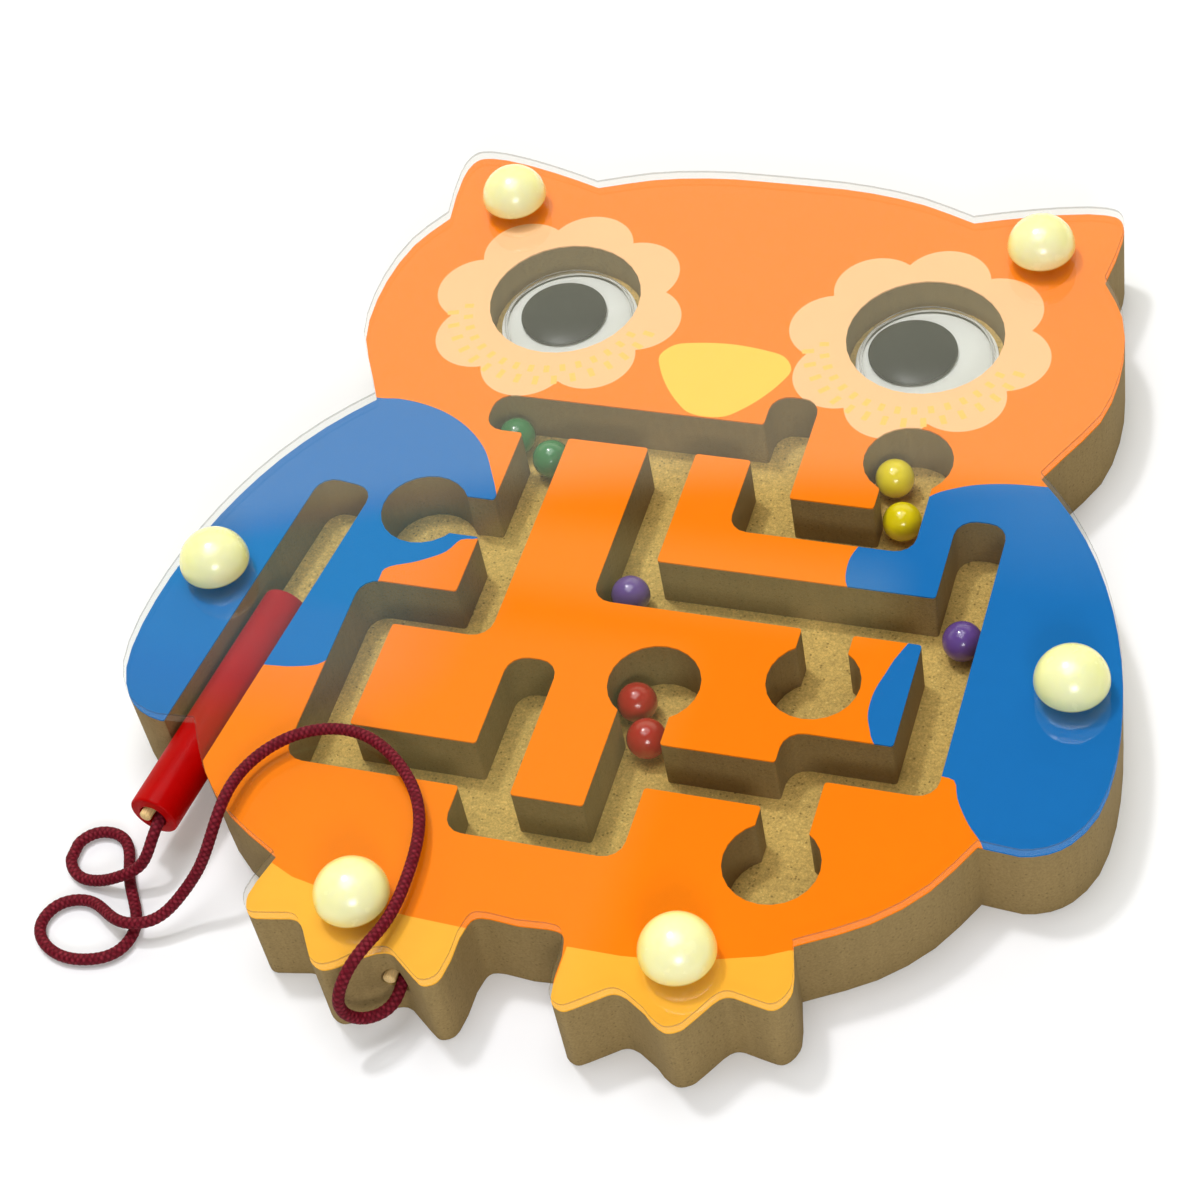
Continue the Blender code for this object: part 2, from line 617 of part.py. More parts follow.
def add_eye(side, name, home, paints):
    """A googly eye: a white disc, a loose pupil on it and a clear dome over both."""
    middle = eye_place(side)
    anchor = bpy.data.objects.new("eye_" + name, None)
    anchor.location = middle + Vector((0, 0, EYE_BACK_TOP))
    home.objects.link(anchor)
    back = disc_mesh("eye_back_" + name, EYE_BACK_DIAMETER / 2, -EYE_BACK_THICKNESS, 0, DOME_SEGMENTS)
    add_object("eye_back_" + name, back, home, paints["white"], parent=anchor)
    dome = DOME_DIAMETER / 2
    shell = rounded_profile(dome, DOME_HEIGHT)
    shell += rounded_profile(dome - DOME_WALL, DOME_HEIGHT - DOME_WALL)[::-1]
    turned("eye_dome_" + name, shell, home, paints["clear"], DOME_SEGMENTS, (0, 0, FILM_GAP), anchor)
    room = dome - DOME_WALL - PUPIL_DIAMETER / 2
    slide = Vector((*PUPIL_SLIDE_SHARES[name], 0)) * room
    pupil = disc_mesh("pupil_" + name, PUPIL_DIAMETER / 2, 0, PUPIL_THICKNESS, DOME_SEGMENTS)
    add_object("pupil_" + name, pupil, home, paints["dark"], slide + Vector((0, 0, FIT_GAP)), anchor)


def add_peg(name, home, material, location, parent=None, rotation=(0, 0, 0)):
    """A small peg with a domed head that stands proud of the hole it wedges the cord in. Its axis is local Z."""
    radius = PEG_DIAMETER / 2
    profile = [(0, PEG_PROUD), (radius * PEG_TOP_WIDTH_SHARE, PEG_PROUD * PEG_TOP_SHARE),
               (radius, PEG_PROUD * PEG_SHOULDER_SHARE),
               (radius, PEG_PROUD - PEG_LENGTH), (0, PEG_PROUD - PEG_LENGTH)]
    peg = turned(name, profile, home, material, ROUND_SEGMENTS // 2, location, parent)
    peg.rotation_euler = rotation


def peg_offset():
    """How far the cord and the peg lie from the axis of the hole that they share."""
    return (CORD_DIAMETER + FIT_GAP) / 2


def add_wand(home, paints):
    """The wand on its bay's axis: a barrel bored at both ends, its magnet at the tip and its peg at the cord."""
    along = Vector((math.sin(WAND_TILT), math.cos(WAND_TILT), 0))
    bay_end = place(WAND_BAY_END_SHARES)
    start = bay_end - along * (BAY_LENGTH + WAND_OVERHANG)
    start.z = WAND_AXIS_HEIGHT
    anchor = bpy.data.objects.new("wand_axis", None)
    anchor.location = start
    anchor.rotation_euler = (math.radians(-90), 0, -WAND_TILT)
    home.objects.link(anchor)
    radius = WAND_DIAMETER / 2
    magnet = MAGNET_DIAMETER / 2 + FIT_GAP
    magnet_seat = WAND_LENGTH - MAGNET_LENGTH - FIT_GAP
    bore = CORD_HOLE_DIAMETER / 2
    profile = [
        (0, magnet_seat), (magnet, magnet_seat), (magnet, WAND_LENGTH), (radius - WAND_CHAMFER, WAND_LENGTH),
        (radius, WAND_LENGTH - WAND_CHAMFER), (radius, WAND_CHAMFER), (radius - WAND_CHAMFER, 0), (bore, 0),
        (bore, CORD_HOLE_DEPTH), (0, CORD_HOLE_DEPTH),
    ]
    turned("wand_barrel", profile, home, paints["wand"], parent=anchor)
    data = disc_mesh("wand_magnet", MAGNET_DIAMETER / 2, WAND_LENGTH - MAGNET_LENGTH, WAND_LENGTH)
    add_object("wand_magnet", data, home, paints["steel"], parent=anchor)
    shift = peg_offset() / math.sqrt(2)
    add_peg("wand_peg", home, paints["wood"], (-shift, -shift, 0), anchor, (math.radians(180), 0, 0))


def add_foot_peg(home, material):
    """The peg in the foot's cord hole, up and to the left of the cord."""
    shift = peg_offset() / math.sqrt(2)
    spot = place(FOOT_HOLE_SHARES) + Vector((-shift, 0, FOOT_HOLE_HEIGHT + shift))
    add_peg("foot_peg", home, material, spot, rotation=(math.radians(90), 0, 0))


def cord_points():
    """Evenly spaced points on the natural cubic spline through the cord's route, no lower than on the table."""
    route = np.array(CORD_ROUTE)
    steps = np.diff(route, axis=0)
    spans = np.linalg.norm(steps, axis=1)
    knots = np.concatenate([[0], np.cumsum(spans)])
    system = np.eye(len(route))
    inner = np.arange(1, len(route) - 1)
    system[inner, inner - 1] = spans[:-1]
    system[inner, inner] = 2 * (spans[:-1] + spans[1:])
    system[inner, inner + 1] = spans[1:]
    turns = np.zeros_like(route)
    turns[1:-1] = 6 * np.diff(steps / spans[:, None], axis=0)
    bends = np.linalg.solve(system, turns)
    at = np.linspace(0, knots[-1], CORD_POINTS * CORD_FINENESS)
    index = np.clip(np.searchsorted(knots, at, side="right") - 1, 0, len(spans) - 1)
    span = spans[index][:, None]
    start = (knots[index + 1] - at)[:, None] / span
    end = 1 - start
    fine = start * route[index] + end * route[index + 1]
    fine += ((start ** 3 - start) * bends[index] + (end ** 3 - end) * bends[index + 1]) * span ** 2 / 6
    fine[:, 2] = np.maximum(fine[:, 2], CORD_DIAMETER / 2 + FILM_GAP)
    lengths = np.concatenate([[0], np.cumsum(np.linalg.norm(np.diff(fine, axis=0), axis=1))])
    even = np.linspace(0, lengths[-1], CORD_POINTS)
    return np.stack([np.interp(even, lengths, fine[:, axis]) for axis in range(3)], axis=1)


def add_cord(home, material):
    """The cord: a round tube along its route."""
    curve = bpy.data.curves.new("tether_cord", "CURVE")
    curve.dimensions = "3D"
    curve.bevel_depth = CORD_DIAMETER / 2
    curve.bevel_resolution = CORD_BEVEL_RESOLUTION
    curve.use_fill_caps = True
    points = cord_points()
    spline = curve.splines.new("POLY")
    spline.points.add(len(points) - 1)
    spline.points.foreach_set("co", np.column_stack([points, np.ones(len(points))]).ravel())
    add_object("tether_cord", curve, home, material)


def build():
    """The whole board."""
    for old in list(bpy.data.objects):
        bpy.data.objects.remove(old)
    home = collection("magnetic_maze_board")
    sheet_cutters = collection("routing_cutters")
    hole_cutters = collection("hole_cutters")
    cord_cutters = collection("cord_cutters")
    channel_cutter(sheet_cutters)
    eye_cutters(sheet_cutters)
    bay_cutter(sheet_cutters)
    plug_cutters(hole_cutters)
    foot_hole = foot_hole_cutter(cord_cutters)

    outline = outline_points()
    mdf = paint("routed_mdf", (0.275, 0.195, 0.084), 0.8)
    print_ink = paint("printed_sheet", (1.0, 0.270, 0.018), 0.4)
    acrylic = paint("clear_acrylic", (0.95, 0.95, 0.95), 0.03, alpha=0.15)
    board = sheet("maze_board", outline, 0, BOARD_THICKNESS, home, mdf)
    cut(board, sheet_cutters, "routing")
    cut(board, hole_cutters, "plug_holes")
    cut(board, foot_hole, "cord_hole")
    tidy_flats(board)
    face = sheet("printed_sheet", outline, PRINT_BOTTOM, PRINT_THICKNESS, home, print_ink)
    cut(face, sheet_cutters, "routing")
    cut(face, hole_cutters, "plug_holes")
    tidy_flats(face)
    split_print(face, home, print_ink)
    cover = sheet("clear_cover", outline, COVER_BOTTOM, COVER_THICKNESS, home, acrylic)
    cut(cover, hole_cutters, "plug_holes")

    cream = paint("cream_plastic", (1.0, 1.0, 0.434), 0.2)
    for name, spot in plug_places():
        add_plug(name, spot, home, cream)
    add_balls(home)
    eye_paints = {
        "white": paint("eye_white", (0.745, 0.745, 0.716), 0.4),
        "dark": paint("pupil_black", (0.069, 0.069, 0.061), 0.4),
        "clear": paint("clear_dome", (0.95, 0.95, 0.95), 0.03, alpha=0.15),
    }
    add_eye(-1, "left", home, eye_paints)
    add_eye(1, "right", home, eye_paints)
    wood = paint("pale_wood", (0.871, 0.578, 0.216), 0.6)
    wand_paints = {
        "wand": paint("red_lacquer", (0.479, 0.0, 0.0), 0.25),
        "steel": paint("plated_magnet", (0.6, 0.6, 0.6), 0.3, metallic=1.0),
        "wood": wood,
    }
    add_wand(home, wand_paints)
    add_foot_peg(home, wood)
    add_cord(home, paint("braided_cord", (0.195, 0.006, 0.040), 0.8))


build()
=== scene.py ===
"""Looks of a magnetic maze board: an owl-shaped routed board with a printed face, a clear cover and loose balls.

Metres, +Z up, +Y towards the ears. Laid out as an add-on with one operator for each piece or group of like pieces.
"""
import json
import math

import bmesh
import bpy
import numpy as np
from bpy.props import FloatProperty, FloatVectorProperty, IntProperty, PointerProperty
from bpy.types import Operator, Panel, PropertyGroup
from mathutils import Matrix, Vector
from mathutils.geometry import delaunay_2d_cdt


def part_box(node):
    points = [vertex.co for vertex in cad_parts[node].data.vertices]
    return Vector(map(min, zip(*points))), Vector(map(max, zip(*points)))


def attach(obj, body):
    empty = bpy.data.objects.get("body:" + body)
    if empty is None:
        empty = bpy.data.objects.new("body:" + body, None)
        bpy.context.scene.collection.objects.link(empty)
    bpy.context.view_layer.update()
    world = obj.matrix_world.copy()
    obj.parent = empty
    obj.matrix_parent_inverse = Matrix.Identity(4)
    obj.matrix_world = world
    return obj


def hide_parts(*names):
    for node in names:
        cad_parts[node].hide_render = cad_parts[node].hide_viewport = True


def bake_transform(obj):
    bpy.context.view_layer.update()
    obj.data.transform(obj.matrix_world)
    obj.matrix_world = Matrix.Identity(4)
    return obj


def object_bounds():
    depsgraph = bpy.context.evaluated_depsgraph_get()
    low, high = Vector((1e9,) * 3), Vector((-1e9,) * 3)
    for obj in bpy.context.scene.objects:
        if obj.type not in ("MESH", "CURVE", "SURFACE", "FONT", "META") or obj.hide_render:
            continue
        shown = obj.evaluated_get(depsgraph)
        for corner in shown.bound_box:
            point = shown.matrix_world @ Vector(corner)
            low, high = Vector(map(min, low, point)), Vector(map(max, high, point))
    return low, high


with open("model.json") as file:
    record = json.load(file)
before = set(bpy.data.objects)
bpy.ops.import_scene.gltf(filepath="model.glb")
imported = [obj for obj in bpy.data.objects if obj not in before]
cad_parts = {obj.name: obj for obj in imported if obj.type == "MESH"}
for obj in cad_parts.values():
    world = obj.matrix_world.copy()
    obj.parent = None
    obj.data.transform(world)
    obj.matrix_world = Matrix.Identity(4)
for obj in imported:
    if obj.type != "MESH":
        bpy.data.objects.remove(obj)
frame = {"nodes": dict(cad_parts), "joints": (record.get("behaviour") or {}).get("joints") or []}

bl_info = {
    "name": "Magnetic maze board",
    "version": (1, 0, 0),
    "blender": (4, 5, 0),
    "location": "3D View > Sidebar > Maze board",
    "description": "Dresses the packed maze board with its printed face, clear cover, balls, eyes, wand and cord",
    "category": "Object",
}

CAD_BOX = [list(corner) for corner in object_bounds()]
MILLIMETRE = 0.001
# Points nearer than this are one, in metres
MERGE_DISTANCE = 0.000001

# Points round a turned piece, and the angle in degrees under which all of a piece's edges are smooth
ROUND_LARGE, ROUND_SMALL, ROUND_BALL, ROUND_PEG = 96, 64, 48, 32
ALL_SMOOTH = 180.0
# Points along the profile of a plug's crown, a ball, a dome, a peg's head and its stem, and round a rounded corner
CROWN_STEPS, BALL_STEPS, DOME_STEPS, PEG_HEAD_STEPS, PEG_STEPS, CORNER_STEPS = 17, 33, 24, 8, 10, 5
# How many strips a softened edge has, and the angle in degrees from which an edge is softened
BEVEL_STRIPS, BEVEL_ANGLE = 2, 50
# The range that most of a noise's values lie in
NOISE_RANGE = (0.3, 0.7)
# The share of light that the cover and the domes mirror when seen straight on
COVER_MIRROR, DOME_MIRROR = 0.042, 0.007

# The room: where its bright side lies, its slightly tilted way up, and how far up the dark ceiling begins
BRIGHT_SIDE = (-0.42, 0.91, 0.0)
UPWARD = (-0.105, 0.0, 1.0)
CEILING_LOW, CEILING_HIGH = 0.750, 0.763
# Pale areas of the ceiling: limits of x and y on a ceiling one unit up, how soft their edges are, and their light
CEILING_AREAS = [
    ((-1.20, -0.45), (0.70, 1.20), 0.03, (0.17, 0.53, 0.57)),
    ((-0.46, -0.25), (0.785, 0.828), 0.012, (0.50, 0.52, 0.26)),
    ((-0.66, -0.33), (0.50, 0.765), 0.012, (0.30, 0.34, 0.16)),
    ((-0.23, -0.05), (0.845, 1.00), 0.03, (0.40, 0.45, 0.40)),
]
# Each lamp's place, and its width and height, in metres
LAMPS = {
    "key": ((-0.50, 0.32, 1.70), (0.16, 0.16)),
    "top": ((-0.10, 0.05, 2.0), (1.5, 1.1)),
    "front": ((0.34, -0.76, 0.50), (0.3, 0.22)),
}
# Half the floor's width, and how far it lies under the board, in metres
FLOOR_HALF, FLOOR_DROP = 2.5, 0.0001

# The cord's route from the wand to the foot, in millimetres
CORD_ROUTE = [
    (-77.9, -72.2, 11.8), (-78.6, -78.6, 11.8), (-79.1, -82.3, 10.2), (-81.2, -85.4, 6.4), (-85.6, -87.4, 4.2),
    (-90.6, -87.7, 1.9), (-94.7, -87.2, 1.3), (-98.6, -82.4, 1.3), (-95.9, -76.9, 1.3), (-89.9, -76.9, 1.3),
    (-85.3, -84.6, 1.3), (-81.6, -90.8, 1.3), (-79.2, -96.2, 1.3), (-80.4, -101.6, 1.3), (-86.2, -104.8, 1.3),
    (-92.9, -104.4, 1.3), (-97.9, -99.6, 1.3), (-96.2, -94, 1.3), (-90.8, -92.2, 1.4), (-85.4, -94.8, 2.9),
    (-79.9, -97.2, 4.5), (-74.4, -95.8, 5.1), (-69.6, -91.4, 8.2), (-65.6, -87.2, 13.8), (-63.4, -83, 19.4),
    (-62.5, -77.8, 22.2), (-61.4, -70, 22), (-55, -61, 21.95), (-44, -57.6, 21.95), (-33, -62.6, 21.95),
    (-24.8, -73, 21.95), (-22.1, -88, 21.95), (-23, -98.4, 21.95), (-25.6, -105.6, 21.7), (-27.7, -110.2, 18.2),
    (-28.2, -111.6, 12.8), (-25.4, -110, 8.4), (-21.4, -106, 8), (-20.6, -101.8, 9.1), (-20.6, -96.4, 9.25),
]
# How far apart the cord's rings are in metres, and how many points each has
CORD_STEP = 0.0001
CORD_SEGMENTS = 32
# A direction that the cord never runs along, from which each ring's own two directions follow
CORD_SIDE = (0.183, -0.683, 0.707)
# The share of the wand's move that the cord would take up, at lengths along it in millimetres
CORD_FOLLOWS = [
    (9, 1), (11, 0.952), (13, 0.909), (15, 0.873), (18, 0.737), (22, 0.563), (28, 0.377), (36, 0.34), (46, 0.297),
    (56, 0.187), (68, 0), (72, 0),
]
# Each share is a mean over this many steps along the cord
CORD_FOLLOWS_SOFT = 30

# The printed artwork in millimetres: how far all of it is moved along Y, how far apart the points of a smoothed
# outline are at most, and the outlines
ART_SHIFT = -0.35
OUTLINE_STEP = 1.5
BLUE_LEFT = [
    (-110, 31.5), (-70, 30.8), (-66, 31.2), (-60, 30.5), (-54, 28.6), (-48, 25), (-43, 20), (-39.5, 14), (-36.5, 8),
    (-34, 0), (-36.7, -3.6), (-40, -4.5), (-42, -8), (-47, -11.5), (-53, -14.5), (-53.3, -17.5), (-54.5, -28),
    (-57, -39.5), (-63, -41.8), (-67.5, -42.3), (-75, -43.5), (-78, -66), (-110, -66),
]
BLUE_RIGHT = [
    (110, 28.5), (71.5, 28.3), (64, 27.8), (58, 26.5), (53, 24.3), (51, 23), (45, 16), (40.5, 9.5), (38.7, 5.3),
    (38.3, 2), (39.5, -3.3), (46, -8), (54.5, -13), (53.6, -16.65), (52.6, -19.25), (51.6, -23.15), (50.7, -26.65),
    (50.4, -30.15), (50.7, -33.45), (51.8, -36.55), (53, -39.15), (58, -43), (67, -44.5), (69.5, -45), (71, -49),
    (74, -54), (77, -57.5), (80, -62), (110, -62),
]
FOOT_LEFT = [
    (-60, -84), (-50.5, -86.5), (-45, -89), (-40, -90), (-33, -92), (-20, -93), (-9, -93.4), (-9, -120), (-60, -120),
]
FOOT_RIGHT = [
    (10, -120), (10, -93.5), (20, -93.5), (30, -92.5), (38, -90.5), (45, -88.5), (49, -86.5), (60, -84), (60, -120),
]
BEAK = [
    (-14.3, 52), (-12, 55.5), (-8, 56.7), (0, 57.5), (8, 56.7), (12, 55.5), (14.3, 52), (13, 48), (10, 43), (7, 39.5),
    (4, 37), (0, 36.3), (-4, 37), (-7, 39.5), (-10, 43), (-13, 48),
]
FLOWER_CENTRES = [(-40.6, 63.8), (38.6, 63.8)]
PETALS = 8
PETAL_TURN = math.radians(17)
# From the eye's middle to a petal's
PETAL_DISTANCE = 18.5
PETAL_RADIUS = 9.5
# The rows of dashes: inner and outer radius, and how many degrees a row is turned
DASH_ROWS = [(18.6, 20.6, 0.0), (21.7, 24.2, 5.0)]
DASH_HALF_WIDTH = 0.62
# Where a row begins and ends, and the step between dashes, in degrees
DASH_FIRST, DASH_LAST, DASH_STEP = 190, 350, 10.0


# Sizes and colours

def length(name, default, text):
    """A length that a user may change."""
    return FloatProperty(name=name, description=text, default=default, min=0.0, precision=5, unit="LENGTH")


def share(name, default, text, most=1.0):
    """A plain number that a user may change."""
    return FloatProperty(name=name, description=text, default=default, min=0.0, max=most)


def colour(name, default, text):
    """A colour that a user may change."""
    return FloatVectorProperty(name=name, description=text, default=default, size=3, min=0.0, max=1.0,
                               subtype="COLOR")


def angle(name, default, text):
    """An angle that a user may change."""
    return FloatProperty(name=name, description=text, default=default, subtype="ANGLE", unit="ROTATION")


class CameraSettings(PropertyGroup):
    """Where the photograph was taken from"""
    place: FloatVectorProperty(name="Place", description="Where the lens is", default=(0.15488, -0.3459, 0.4398),
                               size=3, subtype="TRANSLATION", unit="LENGTH")
    turn: angle("Turn", -0.4563, "Turn of the view away from +Y")
    dip: angle("Dip", 0.8526, "How far the view looks down")
    roll: angle("Roll", -0.2165, "Roll of the picture")
    lens: FloatProperty(name="Lens", description="Focal length in millimetres", default=85.78, min=1.0)


class StageSettings(PropertyGroup):
    """Floor, lamps and room"""
    floor: colour("Floor", (0.82, 0.82, 0.85), "Colour of the floor")
    floor_glow: share("Floor glow", 0.12, "White that the camera sees on the floor besides its own colour")
    walls: colour("Walls", (1.0, 1.0, 0.77), "Colour of the pale walls")
    horizon: share("Horizon", 1.25, "Strength of the pale walls behind the board", 10.0)
    front: share("Front", 0.20, "Share of that strength on the camera's side")
    ceiling: share("Ceiling", 0.03, "Share of that strength on the ceiling")
    key_power: share("Key lamp", 10.0, "Power of the small lamp up behind the left wing, in watts", 1000.0)
    top_power: share("Top lamp", 20.2, "Power of the wide soft lamp above, in watts", 1000.0)
    front_power: share("Front lamp", 2.7, "Power of the low lamp in front, in watts", 1000.0)


class BoardSettings(PropertyGroup):
    """The routed board"""
    edge: length("Edge", 0.0002, "How far the cut edges are softened")
    colour: colour("Colour", (0.52, 0.360, 0.145), "Colour of the fibre board")
    light: colour("Light fibres", (0.64, 0.48, 0.21), "Colour of the pale fibres")
    dark: colour("Dark fibres", (0.33, 0.220, 0.082), "Colour of the dark fibres")


class PrintSettings(PropertyGroup):
    """The printed face"""
    orange: colour("Orange", (1.0, 0.235, 0.0), "Body colour")
    blue: colour("Blue", (0.008, 0.172, 0.52), "Wing colour")
    peach: colour("Peach", (1.0, 0.58, 0.30), "Colour of the flowers round the eyes")
    dash: colour("Dashes", (1.0, 0.60, 0.15), "Colour of the dashes round the eyes")
    beak: colour("Beak", (1.0, 0.63, 0.085), "Beak colour")
    foot: colour("Feet", (1.0, 0.49, 0.045), "Colour of the feet")


class CoverSettings(PropertyGroup):
    """The clear cover"""
    edge: length("Edge", 0.0002, "How far the cover's edges are broken")
    # The grey line along the upper corner is painted shade
    lip: length("Lip", 0.0006, "Height of the grey line along the upper corner")
    tint: colour("Tint", (0.985, 0.99, 0.985), "What the clear plastic lets through")
    edge_colour: colour("Edge colour", (0.90, 0.90, 0.86), "Colour of the cut edge")


class PlugSettings(PropertyGroup):
    """The six domed plugs"""
    head: length("Head", 0.0142, "Width of the head")
    crown: length("Crown", 0.0068, "Height of the crown above the widest ring")
    undercurve: length("Under-curve", 0.0016, "Height of the widest ring above the cover")
    base: length("Base", 0.010, "Width of the foot that sits on the cover")
    shank: length("Shank", 0.005, "Width of the shank")
    shank_length: length("Shank length", 0.010, "Length of the shank")
    # Both plug colours are painted light: pale where the plug faces the view, yellower seen at a slant
    colour: colour("Colour", (1.0, 0.97, 0.54), "Cream plastic, seen straight on")
    rim: colour("Rim", (1.0, 0.84, 0.24), "Cream plastic, seen at a slant")


class BallSettings(PropertyGroup):
    """The eight balls"""
    green: colour("Green", (0.020, 0.220, 0.070), "Green paint")
    yellow: colour("Yellow", (0.92, 0.74, 0.0), "Yellow paint")
    purple: colour("Purple", (0.15, 0.070, 0.34), "Purple paint")
    red: colour("Red", (0.46, 0.013, 0.013), "Red paint")


class EyeSettings(PropertyGroup):
    """The two googly eyes"""
    dome_wall: length("Dome wall", 0.0006, "Thickness of the clear dome")
    edge: length("Edge", 0.00025, "Rounding of the discs' edges")
    white: colour("White", (0.90, 0.90, 0.88), "Backing disc")
    dark: colour("Dark", (0.016, 0.016, 0.015), "Pupil")


class WandSettings(PropertyGroup):
    """The wand, its magnet and its peg"""
    diameter: length("Diameter", 0.010, "Width of the barrel")
    chamfer: length("Chamfer", 0.0006, "Rounding of the barrel's ends")
    magnet: length("Magnet", 0.006, "Width of the magnet")
    magnet_length: length("Magnet length", 0.004, "Length of the magnet")
    bore: length("Bore", 0.0057, "Width of the hole for the cord")
    bore_depth: length("Bore depth", 0.0085, "Depth of the hole for the cord")
    gap: length("Gap", 0.0003, "Room round the magnet")
    red: colour("Red", (0.42, 0.0, 0.0), "Red lacquer")
    wood: colour("Wood", (0.87, 0.60, 0.26), "Pale wood of the pegs")


class CordSettings(PropertyGroup):
    """The braided cord"""
    diameter: length("Diameter", 0.0024, "Width of the cord")
    relief: length("Relief", 0.00016, "How far the strands stand out")
    stitch: length("Stitch", 0.0011, "Length of one stitch of the braid")
    strands: IntProperty(name="Strands", description="Strands in each direction", default=4, min=2, max=16)
    colour: colour("Colour", (0.138, 0.0026, 0.012), "Dark red yarn")
    # The flecks are painted highlights on the crests
    crest_highlight: colour("Flecks", (0.305, 0.028, 0.048), "Light on the yarn's crests")


class MazeBoardSettings(PropertyGroup):
    """Everything that can be set"""
    camera: PointerProperty(type=CameraSettings)
    stage: PointerProperty(type=StageSettings)
    board: PointerProperty(type=BoardSettings)
    face: PointerProperty(type=PrintSettings)
    cover: PointerProperty(type=CoverSettings)
    plugs: PointerProperty(type=PlugSettings)
    balls: PointerProperty(type=BallSettings)
    eyes: PointerProperty(type=EyeSettings)
    wand: PointerProperty(type=WandSettings)
    cord: PointerProperty(type=CordSettings)


# Material helpers

def node(tree, kind, inputs=None, **settings):
    """The outputs of a new shader node with its settings, and its inputs set or linked."""
    made = tree.nodes.new("ShaderNode" + kind)
    for key, value in settings.items():
        setattr(made, key, value)
    for key, value in (inputs or {}).items():
        if isinstance(value, bpy.types.NodeSocket):
            tree.links.new(value, made.inputs[key])
        else:
            made.inputs[key].default_value = value
    return made.outputs


def empty_material(name):
    """A material with only its output, and its node tree."""
    material = bpy.data.materials.new(name)
    material.use_nodes = True
    material.node_tree.nodes.clear()
    return material, material.node_tree


def show(tree, surface):
    """Links a shader to the material's output."""
    node(tree, "OutputMaterial", {"Surface": surface})


def rgba(shade, factor=1.0):
    """A colour socket's value from three numbers."""
    return (*(part * factor for part in shade), 1.0)


def grey(level):
    """A grey of one level."""
    return rgba((level,) * 3)


def maths(tree, first, second, way="MULTIPLY"):
    """Two values multiplied, or put together in another way."""
    return node(tree, "Math", {0: first, 1: second}, operation=way)[0]


def mixed(tree, factor, first, second, way="MIX"):
    """The colour between two colours, each a socket or a value."""
    return node(tree, "Mix", {"Factor": factor, 6: first, 7: second}, data_type="RGBA", blend_type=way)[2]


def shaded(tree, tone, factor, first, second):
    """A colour multiplied by one between two others."""
    return mixed(tree, 1.0, tone, mixed(tree, factor, first, second), "MULTIPLY")


def spread(tree, value, low, high, to_low=0.0, to_high=1.0):
    """A value stretched from one range to another and kept inside it."""
    inputs = {"Value": value, "From Min": low, "From Max": high, "To Min": to_low, "To Max": to_high}
    return node(tree, "MapRange", inputs)[0]


def noise(tree, vector, scale, detail=2.0, roughness=0.5):
    """Cloudy noise over a vector."""
    inputs = {"Vector": vector, "Scale": scale, "Detail": detail, "Roughness": roughness}
    return node(tree, "TexNoise", inputs)["Fac"]


def patches(tree, vector, scale, detail, roughness=0.5, to_low=0.0, to_high=1.0):
    """Cloudy noise that fills a range."""
    return spread(tree, noise(tree, vector, scale, detail, roughness), *NOISE_RANGE, to_low, to_high)


def object_coordinates(tree, scale=None):
    """The place on the piece, in metres, or scaled along each axis."""
    place = node(tree, "TexCoord")["Object"]
    return node(tree, "Mapping", {"Vector": place, "Scale": scale})[0] if scale else place


def facing_away(tree):
    """How far the surface turns away from the view, from 0 to 1."""
    return node(tree, "LayerWeight")["Facing"]


def bump(tree, strength, distance, height):
    """A normal tilted by a height, which stands for a distance in metres."""
    return node(tree, "Bump", {"Strength": strength, "Distance": distance, "Height": height})[0]


def show_surface(tree, tone, roughness, **sockets):
    """Ends a material in a Principled shader. An underscore in a socket's name stands for a space."""
    inputs = {key.replace("_", " "): value for key, value in sockets.items()}
    show(tree, node(tree, "BsdfPrincipled", {"Base Color": tone, "Roughness": roughness, **inputs})[0])


def painted(name, shade, roughness, mottle, scale, relief=0.0, relief_scale=0.0, **sockets):
    """A surface whose colour and roughness vary a little, with a fine unevenness."""
    material, tree = empty_material(name)
    place = object_coordinates(tree)
    tint = mixed(tree, patches(tree, place, scale, 4.0, 0.6), rgba(shade, 1 - mottle), rgba(shade, 1 + mottle))
    rough = patches(tree, place, scale * 2, 3.0, 0.5, roughness * 0.85, roughness * 1.15)
    if relief:
        sockets["Normal"] = bump(tree, relief, MILLIMETRE / 10, noise(tree, place, relief_scale, 3.0, 0.6))
    show_surface(tree, tint, rough, **sockets)
    return material


def clear_material(name, tint, roughness, mirrored):
    """Clear plastic: what is behind shows through, with a mirror film over it that grows towards grazing views.

    The film's share is a base plus the rest times the fifth power of how far the surface turns away.
    """
    material, tree = empty_material(name)
    behind = node(tree, "BsdfTransparent", {"Color": rgba(tint)})[0]
    film = node(tree, "BsdfGlossy", {"Color": grey(1.0), "Roughness": roughness})[0]
    amount = spread(tree, maths(tree, facing_away(tree), 5.0, "POWER"), 0.0, 1.0, mirrored, 1.0)
    show(tree, node(tree, "MixShader", {0: amount, 1: behind, 2: film})[0])
    return material


def cut_plastic_material(name, tint, shade, amount, lip=None):
    """The cut edge of clear plastic: mostly see-through, with a little of a pale, slightly uneven surface.

    A lip is the height where its upper corner starts; above it what shows through is darkened into a thin grey line of
    painted shade.
    """
    material, tree = empty_material(name)
    place = object_coordinates(tree)
    through = rgba(tint)
    # Painted shade: the see-through colour darkens above the lip into a thin grey line
    if lip:
        corner = spread(tree, node(tree, "SeparateXYZ", {0: place})["Z"], lip, lip + MILLIMETRE / 5)
        through = mixed(tree, corner, through, rgba(tint, 0.65))
    behind = node(tree, "BsdfTransparent", {"Color": through})[0]
    tone = mixed(tree, noise(tree, place, 900.0), rgba(shade, 0.85), rgba(shade))
    body = node(tree, "BsdfPrincipled", {"Base Color": tone, "Roughness": 0.3})[0]
    show(tree, node(tree, "MixShader", {0: amount, 1: behind, 2: body})[0])
    return material


